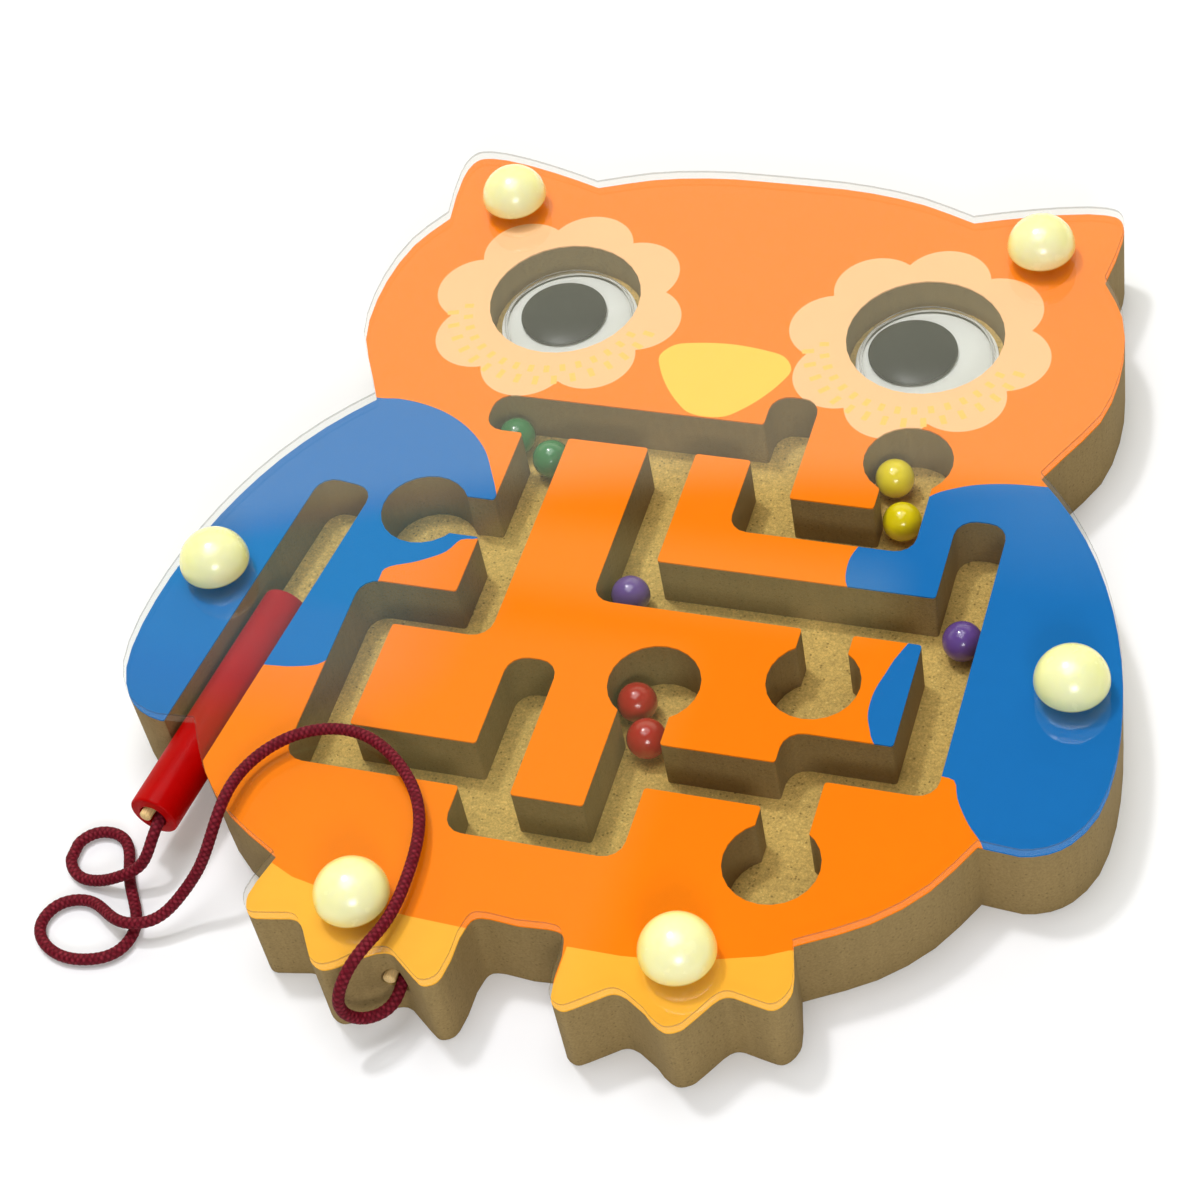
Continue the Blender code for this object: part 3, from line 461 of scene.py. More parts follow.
def fibre_board_material(settings):
    """Routed fibre board: fine felted fibres, pale and dark specks, faint cutter streaks down its walls, and painted
    light and shade.
    """
    material, tree = empty_material("routed_fibre_board")
    place = object_coordinates(tree)
    up = node(tree, "SeparateXYZ", {0: node(tree, "NewGeometry")["Normal"]})["Z"]
    flat = spread(tree, up, 0.3, 0.9)
    felt = noise(tree, place, 2000.0, 5.0, 0.7)
    tone = mixed(tree, spread(tree, felt, 0.28, 0.70), rgba(settings.dark), rgba(settings.colour, 1.25))
    tone = shaded(tree, tone, noise(tree, place, 90.0, 3.0), grey(0.9), grey(1.08))
    cell = node(tree, "TexVoronoi", {"Vector": place, "Scale": 1500.0})
    pick = node(tree, "SeparateColor", {"Color": cell["Color"]})[0]
    near = spread(tree, cell["Distance"], 0.45, 0.20)
    pit = maths(tree, spread(tree, pick, 0.16, 0.10), near)
    speck = maths(tree, spread(tree, pick, 0.87, 0.95), near)
    speck = maths(tree, speck, spread(tree, flat, 0.0, 1.0, 0.25, 1.0))
    tone = mixed(tree, speck, tone, rgba(settings.light))
    tone = mixed(tree, pit, tone, rgba(settings.dark, 0.7))
    # Walls go darker and plainer than tops: partly the darker routed cut, partly painted shade
    tone = mixed(tree, flat, mixed(tree, 0.5, tone, rgba(settings.colour, 0.88)), tone)
    # Painted shade on walls, 0.56 to 0.71 and streaked by the cutter, and painted light on tops, 1.16 to 1.53
    streak = noise(tree, object_coordinates(tree, (1.0, 1.0, 0.06)), 700.0, 3.0)
    wall = mixed(tree, streak, grey(0.56), grey(0.71))
    top = mixed(tree, patches(tree, place, 800.0, 3.0), rgba((1.16, 1.14, 0.85)), rgba((1.53, 1.50, 1.10)))
    tone = shaded(tree, tone, flat, wall, top)
    normal = bump(tree, 0.5, 0.00012, maths(tree, felt, speck, "ADD"))
    show_surface(tree, tone, 0.82, Normal=normal, Specular_IOR_Level=0.25)
    return material


def printed_material():
    """Printed paper: its own colour attribute, with a faint unevenness of the ink."""
    material, tree = empty_material("printed_ink")
    ink = node(tree, "VertexColor", layer_name="ink")["Color"]
    tone = shaded(tree, ink, patches(tree, object_coordinates(tree), 260.0, 5.0, 0.7), grey(0.975), grey(1.0))
    show_surface(tree, tone, 0.7, Specular_IOR_Level=0.05)
    return material


def yarn_material(settings):
    """Braided yarn: painted shade darkens it between the strands, and painted highlights make light flecks on some
    crests.
    """
    material, tree = empty_material("braided_yarn")
    crest = node(tree, "Attribute", attribute_name="crest")["Fac"]
    place = object_coordinates(tree)
    # Painted highlights: light flecks where the crests stand high, in random patches
    lit = maths(tree, spread(tree, crest, 0.45, 0.95), spread(tree, noise(tree, place, 900.0), 0.38, 0.60))
    # Painted shade: the yarn goes darker down between the strands and lighter on the crests
    base = mixed(tree, crest, rgba(settings.colour, 0.35), rgba(settings.colour, 1.2))
    tone = mixed(tree, lit, base, rgba(settings.crest_highlight))
    fuzz = bump(tree, 0.4, MILLIMETRE / 20, noise(tree, place, 9000.0))
    show_surface(tree, tone, 0.62, Normal=fuzz, Specular_IOR_Level=0.12)
    return material


def cream_material(settings):
    """Slightly see-through cream plastic, painted paler where it faces the view and yellower towards its rim: painted
    light.
    """
    material, tree = empty_material("cream_plastic")
    place = object_coordinates(tree)
    # Painted highlight: the colour goes from pale where the surface faces the view to yellower at its rim
    away = spread(tree, facing_away(tree), 0.05, 0.75)
    tone = mixed(tree, away, rgba(settings.colour), rgba(settings.rim))
    tone = shaded(tree, tone, noise(tree, place, 120.0, 4.0, 0.6), grey(0.97), grey(1.0))
    show_surface(tree, tone, patches(tree, place, 240.0, 3.0, 0.5, 0.22, 0.28), Subsurface_Weight=0.9,
                 Subsurface_Radius=(0.010, 0.009, 0.005), Subsurface_Scale=1.0, Coat_Weight=1.0, Coat_Roughness=0.27)
    return material


def pale_wood_material(shade):
    """Raw pale wood: stretched grain along Y."""
    material, tree = empty_material("raw_pale_wood")
    grain = noise(tree, object_coordinates(tree, (1.0, 0.12, 1.0)), 4200.0, 3.0, 0.6)
    tone = mixed(tree, spread(tree, grain, *NOISE_RANGE), rgba(shade, 0.72), rgba(shade, 1.08))
    show_surface(tree, tone, 0.6, Normal=bump(tree, 0.3, MILLIMETRE / 20, grain))
    return material


# Mesh helpers

def ring_faces(rings, segments):
    """Faces that join rings of points, with a fan to the pole before the first ring and to the one after the last."""
    column = np.arange(segments)
    beside = (column + 1) % segments
    row = 1 + np.arange(rings - 1)[:, None] * segments
    quads = np.stack([row + column, row + segments + column, row + segments + beside, row + beside], axis=-1)
    last = 1 + (rings - 1) * segments
    top = np.stack([np.zeros_like(column), column + 1, beside + 1], axis=1)
    bottom = np.stack([np.full_like(column, last + segments), last + beside, last + column], axis=1)
    return top.tolist() + quads.reshape(-1, 4).tolist() + bottom.tolist()


def turned(profile, segments):
    """Points and faces of a profile of radii and heights that starts and ends on the axis, turned round Z.

    x is the radius times the cosine of the angle, y is the radius times its sine, and z is the height.
    """
    profile = np.asarray(profile, float)
    angle = np.linspace(0, math.tau, segments, endpoint=False)
    radius, height = profile[1:-1, :1], profile[1:-1, 1:]
    rings = np.stack([radius * np.cos(angle), radius * np.sin(angle), height + 0 * angle], axis=2)
    poles = np.array([[0, 0, profile[0, 1]], [0, 0, profile[-1, 1]]])
    points = np.concatenate([poles[:1], rings.reshape(-1, 3), poles[1:]])
    return points, ring_faces(len(profile) - 2, segments)


def rounded_corners(profile, radius):
    """A profile with its inner corners rounded: each corner becomes a quadratic curve between points a radius away."""
    profile = np.asarray(profile, float)
    before, corner, after = profile[:-2], profile[1:-1], profile[2:]
    start, end = (corner + (beside - corner) * np.minimum(
        radius / np.linalg.norm(beside - corner, axis=1, keepdims=True), 0.45) for beside in (before, after))
    t = np.linspace(0, 1, CORNER_STEPS)[None, :, None]
    curve = (1 - t) ** 2 * start[:, None] + 2 * t * (1 - t) * corner[:, None] + t ** 2 * end[:, None]
    return np.concatenate([profile[:1], curve.reshape(-1, 2), profile[-1:]])


def new_object(name, data):
    """An object in the scene."""
    made = bpy.data.objects.new(name, data)
    bpy.context.scene.collection.objects.link(made)
    return made


def finish_piece(name, mesh, material, body, cad_node, sharp):
    """Puts a mesh in the scene, smooth apart from edges sharper than an angle in degrees, and painted.

    It rides on its body, if it has one, and stands for its CAD node, if it has one.
    """
    mesh.shade_smooth()
    mesh.set_sharp_from_angle(angle=math.radians(sharp))
    mesh.materials.append(material)
    made = new_object(name, mesh)
    if body:
        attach(made, body)
    if cad_node:
        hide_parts(cad_node)
    return made


def turned_piece(name, profile, segments, place, material, body, cad_node, sharp=50.0, direction=None):
    """A finished piece: a profile turned round Z, then laid along a direction if there is one, and put at a place."""
    points, faces = turned(profile, segments)
    if direction is not None:
        points = points @ np.array(direction.to_track_quat("Z", "Y").to_matrix()).T
    mesh = bpy.data.meshes.new(name)
    mesh.from_pydata((points + np.array(place)).tolist(), [], faces)
    finish_piece(name, mesh, material, body, cad_node, sharp)


def merged_copy(cad_node, name):
    """A mesh that copies a CAD node, with its doubled points merged and its flat faces joined."""
    shape = bmesh.new()
    shape.from_mesh(frame["nodes"][cad_node].data)
    bmesh.ops.remove_doubles(shape, verts=shape.verts, dist=MERGE_DISTANCE)
    bmesh.ops.dissolve_limit(shape, angle_limit=math.radians(0.2), verts=shape.verts, edges=shape.edges)
    mesh = bpy.data.meshes.new(name)
    shape.to_mesh(mesh)
    shape.free()
    return mesh


def soften_edges(made, width, slot=-1):
    """Rounds an object's sharp edges a little, and may paint the new faces from one of its material slots."""
    bevel = made.modifiers.new("soft_edges", "BEVEL")
    bevel.width = width
    bevel.segments = BEVEL_STRIPS
    bevel.limit_method = "ANGLE"
    bevel.angle_limit = math.radians(BEVEL_ANGLE)
    bevel.material = slot


def middle_and_size(cad_node):
    """The middle and the size of a CAD node's box."""
    low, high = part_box(cad_node)
    return (low + high) / 2, high - low


def foot_and_size(cad_node):
    """The middle of the bottom of a CAD node's box, and the box's size."""
    middle, size = middle_and_size(cad_node)
    return middle - Vector((0, 0, size.z / 2)), size


# Camera and stage

def make_camera(settings):
    """The camera, from its place, its turn and dip, and its roll."""
    turn, dip, roll = settings.turn, settings.dip, settings.roll
    forward = Vector((math.sin(turn) * math.cos(dip), math.cos(turn) * math.cos(dip), -math.sin(dip)))
    level = Vector((math.cos(turn), -math.sin(turn), 0))
    upright = level.cross(forward)
    right = math.cos(roll) * level + math.sin(roll) * upright
    up = -math.sin(roll) * level + math.cos(roll) * upright
    data = bpy.data.cameras.new("camera")
    data.lens = settings.lens
    data.sensor_width = 36.0
    data.clip_start = 0.01
    camera = new_object("camera", data)
    camera.matrix_world = Matrix.Translation(settings.place) @ Matrix((right, up, -forward)).transposed().to_4x4()
    bpy.context.scene.camera = camera


def add_lamp(name, place, size, power):
    """A soft lamp that points at the board's middle."""
    data = bpy.data.lights.new(name, "AREA")
    data.shape = "RECTANGLE"
    data.size, data.size_y = size
    data.energy = power
    lamp = new_object(name, data)
    lamp.location = place
    lamp.rotation_euler = (-Vector(place)).to_track_quat("-Z", "Y").to_euler()


def floor_material(settings):
    """A pale floor that keeps the shadow, with a little white added for the camera and for mirrors.

    Far from the board the added white grows to a full white, so the floor meets the room without an edge.
    """
    material, tree = empty_material("floor_white")
    path = node(tree, "LightPath")
    seen = maths(tree, path["Is Camera Ray"], path["Is Glossy Ray"], "MAXIMUM")
    seen = maths(tree, seen, path["Is Transmission Ray"], "MAXIMUM")
    place = object_coordinates(tree)
    reach = node(tree, "VectorMath", {0: place}, operation="LENGTH")["Value"]
    amount = maths(tree, seen, spread(tree, reach, 0.3, 0.7, settings.floor_glow, 1.0))
    tone = mixed(tree, noise(tree, place, 3.0), rgba(settings.floor, 0.99), rgba(settings.floor))
    lit = node(tree, "BsdfDiffuse", {"Color": tone})[0]
    glow = node(tree, "Emission", {"Color": grey(1.0), "Strength": amount})[0]
    show(tree, node(tree, "AddShader", {0: lit, 1: glow})[0])
    return material


def between(tree, value, limits, soft):
    """1 where a value lies between two limits, falling to 0 over soft edges."""
    low, high = limits
    return maths(tree, spread(tree, value, low - soft, low + soft), spread(tree, value, high + soft, high - soft))


def make_world(settings):
    """A room: pale walls up to about half way up the sky, brightest behind the board, under a dark ceiling.

    A direction with parts x, y and z meets a ceiling one unit up at x / z and y / z, where the pale areas are laid.
    The camera itself sees all of it white.
    """
    world = bpy.data.worlds.new("studio")
    world.use_nodes = True
    tree = world.node_tree
    way = node(tree, "TexCoord")["Generated"]
    parts = node(tree, "SeparateXYZ", {0: way})
    behind, level = (node(tree, "VectorMath", {0: way, 1: axis}, operation="DOT_PRODUCT")["Value"]
                     for axis in (BRIGHT_SIDE, UPWARD))
    high = node(tree, "MapRange", {"Value": level, "From Min": CEILING_LOW, "From Max": CEILING_HIGH},
                interpolation_type="SMOOTHSTEP")[0]
    strength = maths(tree, spread(tree, behind, 0.15, 0.6, settings.front, 1.0), maths(tree, 1.0, high, "SUBTRACT"))
    light = mixed(tree, strength, grey(0.0), rgba(settings.walls))
    light = mixed(tree, 1.0, light, grey(settings.ceiling), "LIGHTEN")
    across, along = (maths(tree, parts[axis], parts["Z"], "DIVIDE") for axis in "XY")
    upper = spread(tree, parts["Z"], 0.2, 0.3)
    for limits_x, limits_y, soft, shade in CEILING_AREAS:
        area = maths(tree, between(tree, across, limits_x, soft), between(tree, along, limits_y, soft))
        area = mixed(tree, maths(tree, area, upper), grey(0.0), rgba(shade))
        light = mixed(tree, 1.0, light, area, "LIGHTEN")
    seen = node(tree, "LightPath")["Is Camera Ray"]
    light = mixed(tree, seen, light, grey(1 / settings.horizon))
    background = tree.nodes["Background"].inputs
    tree.links.new(light, background["Color"])
    background["Strength"].default_value = settings.horizon
    bpy.context.scene.world = world


def make_stage(settings):
    """The floor just under the board, the lamps and the room."""
    mesh = bpy.data.meshes.new("floor")
    corners = [(-1, -1), (1, -1), (1, 1), (-1, 1)]
    mesh.from_pydata([(x * FLOOR_HALF, y * FLOOR_HALF, -FLOOR_DROP) for x, y in corners], [], [(0, 1, 2, 3)])
    mesh.materials.append(floor_material(settings))
    new_object("floor", mesh)
    for name, (place, size) in LAMPS.items():
        add_lamp(name + "_lamp", place, size, getattr(settings, name + "_power"))
    make_world(settings)
    bpy.context.scene.view_settings.view_transform = "Standard"


# Cord

def cord_line(radius):
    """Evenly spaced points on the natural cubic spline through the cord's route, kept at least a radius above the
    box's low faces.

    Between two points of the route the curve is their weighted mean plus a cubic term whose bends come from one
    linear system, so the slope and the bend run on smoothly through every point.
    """
    route = np.array(CORD_ROUTE) * MILLIMETRE
    steps = np.diff(route, axis=0)
    spans = np.linalg.norm(steps, axis=1)
    knots = np.concatenate([[0], np.cumsum(spans)])
    system = np.eye(len(route))
    inner = np.arange(1, len(route) - 1)
    system[inner, inner - 1] = spans[:-1]
    system[inner, inner] = 2 * (spans[:-1] + spans[1:])
    system[inner, inner + 1] = spans[1:]
    turns = np.zeros_like(route)
    turns[1:-1] = 6 * np.diff(steps / spans[:, None], axis=0)
    bends = np.linalg.solve(system, turns)
    at = np.linspace(0, knots[-1], int(4 * knots[-1] / CORD_STEP))
    index = np.clip(np.searchsorted(knots, at, side="right") - 1, 0, len(spans) - 1)
    span = spans[index][:, None]
    start = (knots[index + 1] - at)[:, None] / span
    end = 1 - start
    fine = start * route[index] + end * route[index + 1]
    fine += ((start ** 3 - start) * bends[index] + (end ** 3 - end) * bends[index + 1]) * span ** 2 / 6
    fine = np.maximum(fine, np.array(CAD_BOX[0]) + radius)
    lengths = np.concatenate([[0], np.cumsum(np.linalg.norm(np.diff(fine, axis=0), axis=1))])
    even = np.linspace(0, lengths[-1], int(lengths[-1] / CORD_STEP) + 1)
    line = np.stack([np.interp(even, lengths, fine[:, axis]) for axis in range(3)], axis=1)
    return line, even


def braid_crest(angle, along, strands, stitch):
    """How high the braid stands, from 0 to 1, at an angle round the cord and a distance along it.

    Two sets of strands wind round in opposite ways. A set's phase is the number of strands times the angle, plus or
    minus the distance in stitches. Each strand is round across its width, it rises and falls as half a cosine of the
    other set's phase, and the higher of the two sets shows.
    """
    one = strands * angle / math.tau + along / stitch
    other = strands * angle / math.tau - along / stitch
    first, second = np.round(one), np.round(other)
    round_one = np.sqrt(np.maximum(1 - (2 * (one - first)) ** 2, 0))
    round_other = np.sqrt(np.maximum(1 - (2 * (other - second)) ** 2, 0))
    lift_one = np.cos(math.pi * (first + other))
    lift_other = -np.cos(math.pi * (second + one))
    return np.clip(0.5 * np.maximum(round_one * (1 + 0.6 * lift_one), round_other * (1 + 0.6 * lift_other)), 0, 1)


def cord_mesh(name, line, along, settings):
    """A braided tube: rings across the line, each point a radius away from it that follows the braid.

    A point is the line's point plus the radius times the cosine of the angle along the ring's side vector, plus the
    radius times its sine along the vector square to it.
    """
    ahead = np.gradient(line, axis=0)
    ahead /= np.linalg.norm(ahead, axis=1)[:, None]
    side = np.cross(ahead, np.array(CORD_SIDE))
    side /= np.linalg.norm(side, axis=1)[:, None]
    square = np.cross(ahead, side)
    angle = np.linspace(0, math.tau, CORD_SEGMENTS, endpoint=False)[None, :]
    crest = braid_crest(angle, along[:, None], settings.strands, settings.stitch)
    radius = (settings.diameter / 2 - settings.relief * (1 - crest))[:, :, None]
    rings = line[:, None] + radius * (np.cos(angle)[:, :, None] * side[:, None]
                                      - np.sin(angle)[:, :, None] * square[:, None])
    points = np.concatenate([line[:1], rings.reshape(-1, 3), line[-1:]])
    mesh = bpy.data.meshes.new(name)
    mesh.from_pydata(points.tolist(), [], ring_faces(len(line), CORD_SEGMENTS))
    heights = np.concatenate([[0.0], crest.ravel(), [0.0]])
    mesh.attributes.new("crest", "FLOAT", "POINT").data.foreach_set("value", heights.astype(np.float32))
    return mesh


def make_cord(settings):
    """The cord in two lengths that meet without a step: a lead by the wand, on no body, and the rest, on the board.

    The share of the wand's move that each point of the lead would take is worked out by the length along the cord,
    and not along one direction, and each share is a mean over a few millimetres, but nothing uses these shares.
    """
    yarn = yarn_material(settings)
    line, along = cord_line(settings.diameter / 2)
    lengths, shares = np.transpose(CORD_FOLLOWS)
    cut = int(np.searchsorted(along, lengths[-1] * MILLIMETRE))
    lead_line, rest_line = line[:cut + 1], line[cut:]
    lead = finish_piece("cord_lead", cord_mesh("cord_lead", lead_line, along[:cut + 1], settings), yarn, None, None,
                        ALL_SMOOTH)
    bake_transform(lead)
    still = 1 - np.interp(along[:cut + 1], lengths * MILLIMETRE, shares)
    window = np.ones(CORD_FOLLOWS_SOFT + 1) / (CORD_FOLLOWS_SOFT + 1)
    still = np.convolve(np.pad(still, CORD_FOLLOWS_SOFT // 2, "edge"), window, "valid")
    still = np.concatenate([still[:1], np.repeat(still, CORD_SEGMENTS), still[-1:]])
    rest = finish_piece("cord_rest", cord_mesh("cord_rest", rest_line, along[cut:], settings), yarn, "board",
                        "tether_cord", ALL_SMOOTH)


# Board, print and cover

def make_board(settings):
    """The routed board, with its cut edges softened a little."""
    made = finish_piece("routed_board", merged_copy("maze_board", "routed_board"), fibre_board_material(settings),
                        "board", "maze_board", 35.0)
    soften_edges(made, settings.edge)


def flower(centre):
    """A flower of round petals about an eye, in millimetres.

    With the angle measured from the petal's own middle, the radius is the petal's distance times the cosine, plus
    the square root of the petal's radius squared less the square of its distance times the sine.
    """
    angle = np.linspace(0, math.tau, 24 * PETALS, endpoint=False) + PETAL_TURN
    own = (angle - PETAL_TURN) % (math.tau / PETALS) - math.pi / PETALS
    radius = PETAL_DISTANCE * np.cos(own) + np.sqrt(PETAL_RADIUS ** 2 - (PETAL_DISTANCE * np.sin(own)) ** 2)
    return np.array(centre) + np.stack([radius * np.cos(angle), radius * np.sin(angle)], axis=1)


def dashes(centre):
    """Short radial dashes in two rows under an eye, in millimetres."""
    made = []
    for inner, outer, offset in DASH_ROWS:
        for angle in np.radians(np.arange(DASH_FIRST, DASH_LAST, DASH_STEP) + offset):
            along = np.array([math.cos(angle), math.sin(angle)])
            across = np.array([-along[1], along[0]]) * DASH_HALF_WIDTH
            made.append(np.array(centre) + [along * inner - across, along * inner + across,
                                            along * outer + across, along * outer - across])
    return made


def smooth_outline(points):
    """A closed outline with more points: each stretch is a cubic through its ends with the slopes of its neighbours.

    A slope at a point weighs the two stretches beside it by the square roots of their lengths.
    """
    points = np.asarray(points, float)
    first, end, last = (np.roll(points, shift, 0) for shift in (1, -1, -2))
    lengths = [np.linalg.norm(step, axis=1, keepdims=True) for step in (points - first, end - points, last - end)]
    before, own, after = np.sqrt(lengths)
    leave = ((points - first) / before - (end - first) / (before + own)) * own + (end - points)
    arrive = ((last - end) / after - (last - points) / (own + after)) * own + (end - points)
    counts = np.maximum(1, np.ceil(lengths[1][:, 0] / OUTLINE_STEP)).astype(int)
    index = np.repeat(np.arange(len(points)), counts)
    t = ((np.arange(len(index)) - (np.cumsum(counts) - counts)[index]) / counts[index])[:, None]
    return (points[index] * (1 + t * t * (2 * t - 3)) + end[index] * (t * t * (3 - 2 * t))
            + leave[index] * (t * (1 - t) ** 2) + arrive[index] * (t * t * (t - 1)))


def artwork(settings):
    """The printed areas as ink and outline in metres. Later areas lie over earlier ones."""
    areas = [(settings.blue, smooth_outline(BLUE_LEFT)), (settings.blue, smooth_outline(BLUE_RIGHT)),
             (settings.foot, FOOT_LEFT), (settings.foot, FOOT_RIGHT), (settings.beak, smooth_outline(BEAK))]
    areas += [(settings.peach, flower(centre)) for centre in FLOWER_CENTRES]
    areas += [(settings.dash, dash) for centre in FLOWER_CENTRES for dash in dashes(centre)]
    return [(ink, (np.asarray(outline, float) + (0, ART_SHIFT)) * MILLIMETRE) for ink, outline in areas]


def inside(points, starts, ends):
    """Which points lie inside closed outlines: those whose ray along +X crosses the edges an odd number of times."""
    x, y = points[:, :1], points[:, 1:2]
    x0, y0, x1, y1 = starts[:, 0], starts[:, 1], ends[:, 0], ends[:, 1]
    spans = (y0 > y) != (y1 > y)
    rise = np.where(y1 == y0, 1, y1 - y0)
    crossing = x0 + (y - y0) * (x1 - x0) / rise
    return (np.sum(spans & (x < crossing), axis=1) % 2) == 1


def top_edges(cad_node):
    """The border of a flat CAD node's top: the edges that only one upward face has, as two arrays of points."""
    mesh = merged_copy(cad_node, cad_node + "_top")
    shape = bmesh.new()
    shape.from_mesh(mesh)
    border = [edge for edge in shape.edges if sum(face.normal.z > 0.9 for face in edge.link_faces) == 1]
    pairs = np.array([[vert.co.xy for vert in edge.verts] for edge in border])
    shape.free()
    bpy.data.meshes.remove(mesh)
    return pairs[:, 0], pairs[:, 1]


def print_piece(cad_node, name, settings, material):
    """One sheet of the print: its top cut along the borders of its inks, and given its thickness below."""
    starts, ends = top_edges(cad_node)
    areas = artwork(settings)
    points = [starts, ends]
    edges = [(index, index + len(starts)) for index in range(len(starts))]
    total = 2 * len(starts)
    for _ink, outline in areas:
        count = len(outline)
        points.append(outline)
        edges += [(total + index, total + (index + 1) % count) for index in range(count)]
        total += count
    flat = [Vector(point) for point in np.concatenate(points)]
    corners, _edges, faces, _v, _e, _f = delaunay_2d_cdt(flat, edges, [], 0, MERGE_DISTANCE, False)
    corners = np.array([tuple(corner) for corner in corners])
    faces = np.array([face for face in faces if len(face) == 3])
    faces = faces[inside(corners[faces].mean(axis=1), starts, ends)]
    centres = corners[faces].mean(axis=1)
    inks = np.tile(np.array(rgba(settings.orange)), (len(faces), 1))
    for ink, outline in areas:
        inks[inside(centres, outline, np.roll(outline, -1, axis=0))] = rgba(ink)
    used, faces = np.unique(faces, return_inverse=True)
    corners, faces = corners[used], faces.reshape(-1, 3)
    first, second, third = (corners[faces[:, column]] for column in range(3))
    flipped = np.cross(second - first, third - first) < 0
    faces[flipped] = faces[flipped][:, ::-1]
    low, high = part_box(cad_node)
    mesh = bpy.data.meshes.new(name)
    mesh.from_pydata(np.column_stack([corners, np.full(len(used), high.z)]).tolist(), [], faces.tolist())
    attribute = mesh.color_attributes.new("ink", "FLOAT_COLOR", "CORNER")
    attribute.data.foreach_set("color", np.repeat(inks, 3, axis=0).astype(np.float32).ravel())
    made = finish_piece(name, mesh, material, "board", cad_node, 1.0)
    paper = made.modifiers.new("paper", "SOLIDIFY")
    paper.thickness = high.z - low.z
    paper.offset = -1
    mesh.shade_flat()


def make_print(settings):
    """Both sheets of the print."""
    ink = printed_material()
    print_piece("printed_face", "print_outer", settings, ink)
    print_piece("printed_face_middle", "print_middle", settings, ink)


def make_cover(settings):
    """The clear cover, with its cut edges a little rounded and paler than its faces, and painted shade along their
    corners.
    """
    mesh = merged_copy("clear_cover", "cover_sheet")
    made = finish_piece("cover_sheet", mesh, clear_material("clear_plastic", settings.tint, 0.03, COVER_MIRROR),
                        "board", "clear_cover", 35.0)
    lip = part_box("clear_cover")[1].z - settings.lip
    # The cut edge is pale, with a thin grey line of painted shade along its upper corner
    mesh.materials.append(cut_plastic_material("cover_cut_edge", (0.97, 0.97, 0.96), settings.edge_colour, 0.08, lip))
    # The broken corner lets less through: a dark line of painted shade
    mesh.materials.append(cut_plastic_material("cover_broken_corner", (0.50, 0.50, 0.47), settings.edge_colour, 0.06))
    normals = np.zeros(len(mesh.polygons) * 3)
    mesh.polygons.foreach_get("normal", normals)
    walls = np.abs(normals.reshape(-1, 3)[:, 2]) < 0.5
    mesh.polygons.foreach_set("material_index", walls.astype(np.int32))
    soften_edges(made, settings.edge, 2)


# Plugs and balls

def make_plugs(settings):
    """The six plugs: a quarter ellipse for the crown, another for the curve below it, and the shank."""
    head, base, shank = settings.head / 2, settings.base / 2, settings.shank / 2
    angle = np.linspace(0, math.pi / 2, CROWN_STEPS)
    crown = np.stack([head * np.sin(angle), settings.undercurve + settings.crown * np.cos(angle)], axis=1)
    under = np.stack([base + (head - base) * np.cos(angle), settings.undercurve * (1 - np.sin(angle))], axis=1)
    stem = rounded_corners([(shank, 0), (shank, -settings.shank_length), (0, -settings.shank_length)], 0.0004)
    profile = np.concatenate([crown, under[1::3], stem])
    cream = cream_material(settings)
    for name in sorted(name for name in frame["nodes"] if name.startswith("plug_")):
        foot, _size = foot_and_size(name)
        turned_piece("domed_" + name, profile, ROUND_SMALL, foot + Vector((0, 0, settings.shank_length)), cream,
                     "board", name, 45.0)


def make_balls(settings):
    """The eight balls: spheres, each point the radius times the sine and cosine of its two angles."""
    angle = np.linspace(0, math.pi, BALL_STEPS)
    arc = np.stack([np.sin(angle), np.cos(angle)], axis=1)
    for tint in ("green", "purple", "red", "yellow"):
        paint = painted(tint + "_ball_paint", getattr(settings, tint), 0.22, 0.05, 500.0, 0.05, 1500.0,
                        Coat_Weight=0.5, Coat_Roughness=0.1)
        for number in "12":
            name = f"ball_{tint}_{number}"
            middle, size = middle_and_size(name)
            turned_piece(f"{tint}_steel_ball_{number}", arc * size.z / 2, ROUND_BALL, middle, paint,
                         f"{tint}_ball_{number}", name, ALL_SMOOTH)


# Eyes

def rounded_cap(radius, height):
    """Radii and heights down a full, round-shouldered cap: both go as a sine and cosine to the power 0.8."""
    angle = np.linspace(0, math.pi / 2, DOME_STEPS)
    cap = np.stack([radius * np.sin(angle) ** 0.8, height * np.cos(angle) ** 0.8], axis=1)
    cap[0], cap[-1] = (0, height), (radius, 0)
    return cap


def make_disc(cad_node, name, material, body, edge):
    """A flat disc with rounded edges that fills a CAD node's box."""
    foot, size = foot_and_size(cad_node)
    radius = size.x / 2
    profile = rounded_corners([(0, size.z), (radius, size.z), (radius, 0), (0, 0)], edge)
    turned_piece(name, profile, ROUND_LARGE, foot, material, body, cad_node, 60.0)


def make_eyes(settings):
    """Each eye: its white disc, its loose pupil, and the clear dome over both."""
    white = painted("eye_white_plastic", settings.white, 0.35, 0.02, 300.0)
    dark = painted("pupil_plastic", settings.dark, 0.38, 0.12, 900.0, 0.1, 3000.0, Specular_IOR_Level=0.2)
    clear = clear_material("dome_plastic", (0.985,) * 3, 0.3, DOME_MIRROR)
    wall = settings.dome_wall
    for side in ("left", "right"):
        make_disc("eye_back_" + side, "eye_white_" + side, white, "board", settings.edge)
        make_disc("pupil_" + side, "pupil_disc_" + side, dark, side + "_pupil", settings.edge)
        foot, size = foot_and_size("eye_dome_" + side)
        outer, inner = rounded_cap(size.x / 2, size.z), rounded_cap(size.x / 2 - wall, size.z - wall)
        turned_piece("clear_dome_" + side, np.concatenate([outer, inner[::-1]]), ROUND_LARGE, foot, clear, "board",
                     "eye_dome_" + side, 60.0)


# Wand and pegs

def wand_way():
    """The direction in which the wand slides."""
    return Vector(next(joint["axis"] for joint in frame["joints"] if joint["name"] == "wand_slide")).normalized()


def laid_length(size, radius, direction):
    """The length of a level stick along a direction, from its box and its radius."""
    return (size.y - 2 * radius * abs(direction.x)) / abs(direction.y)


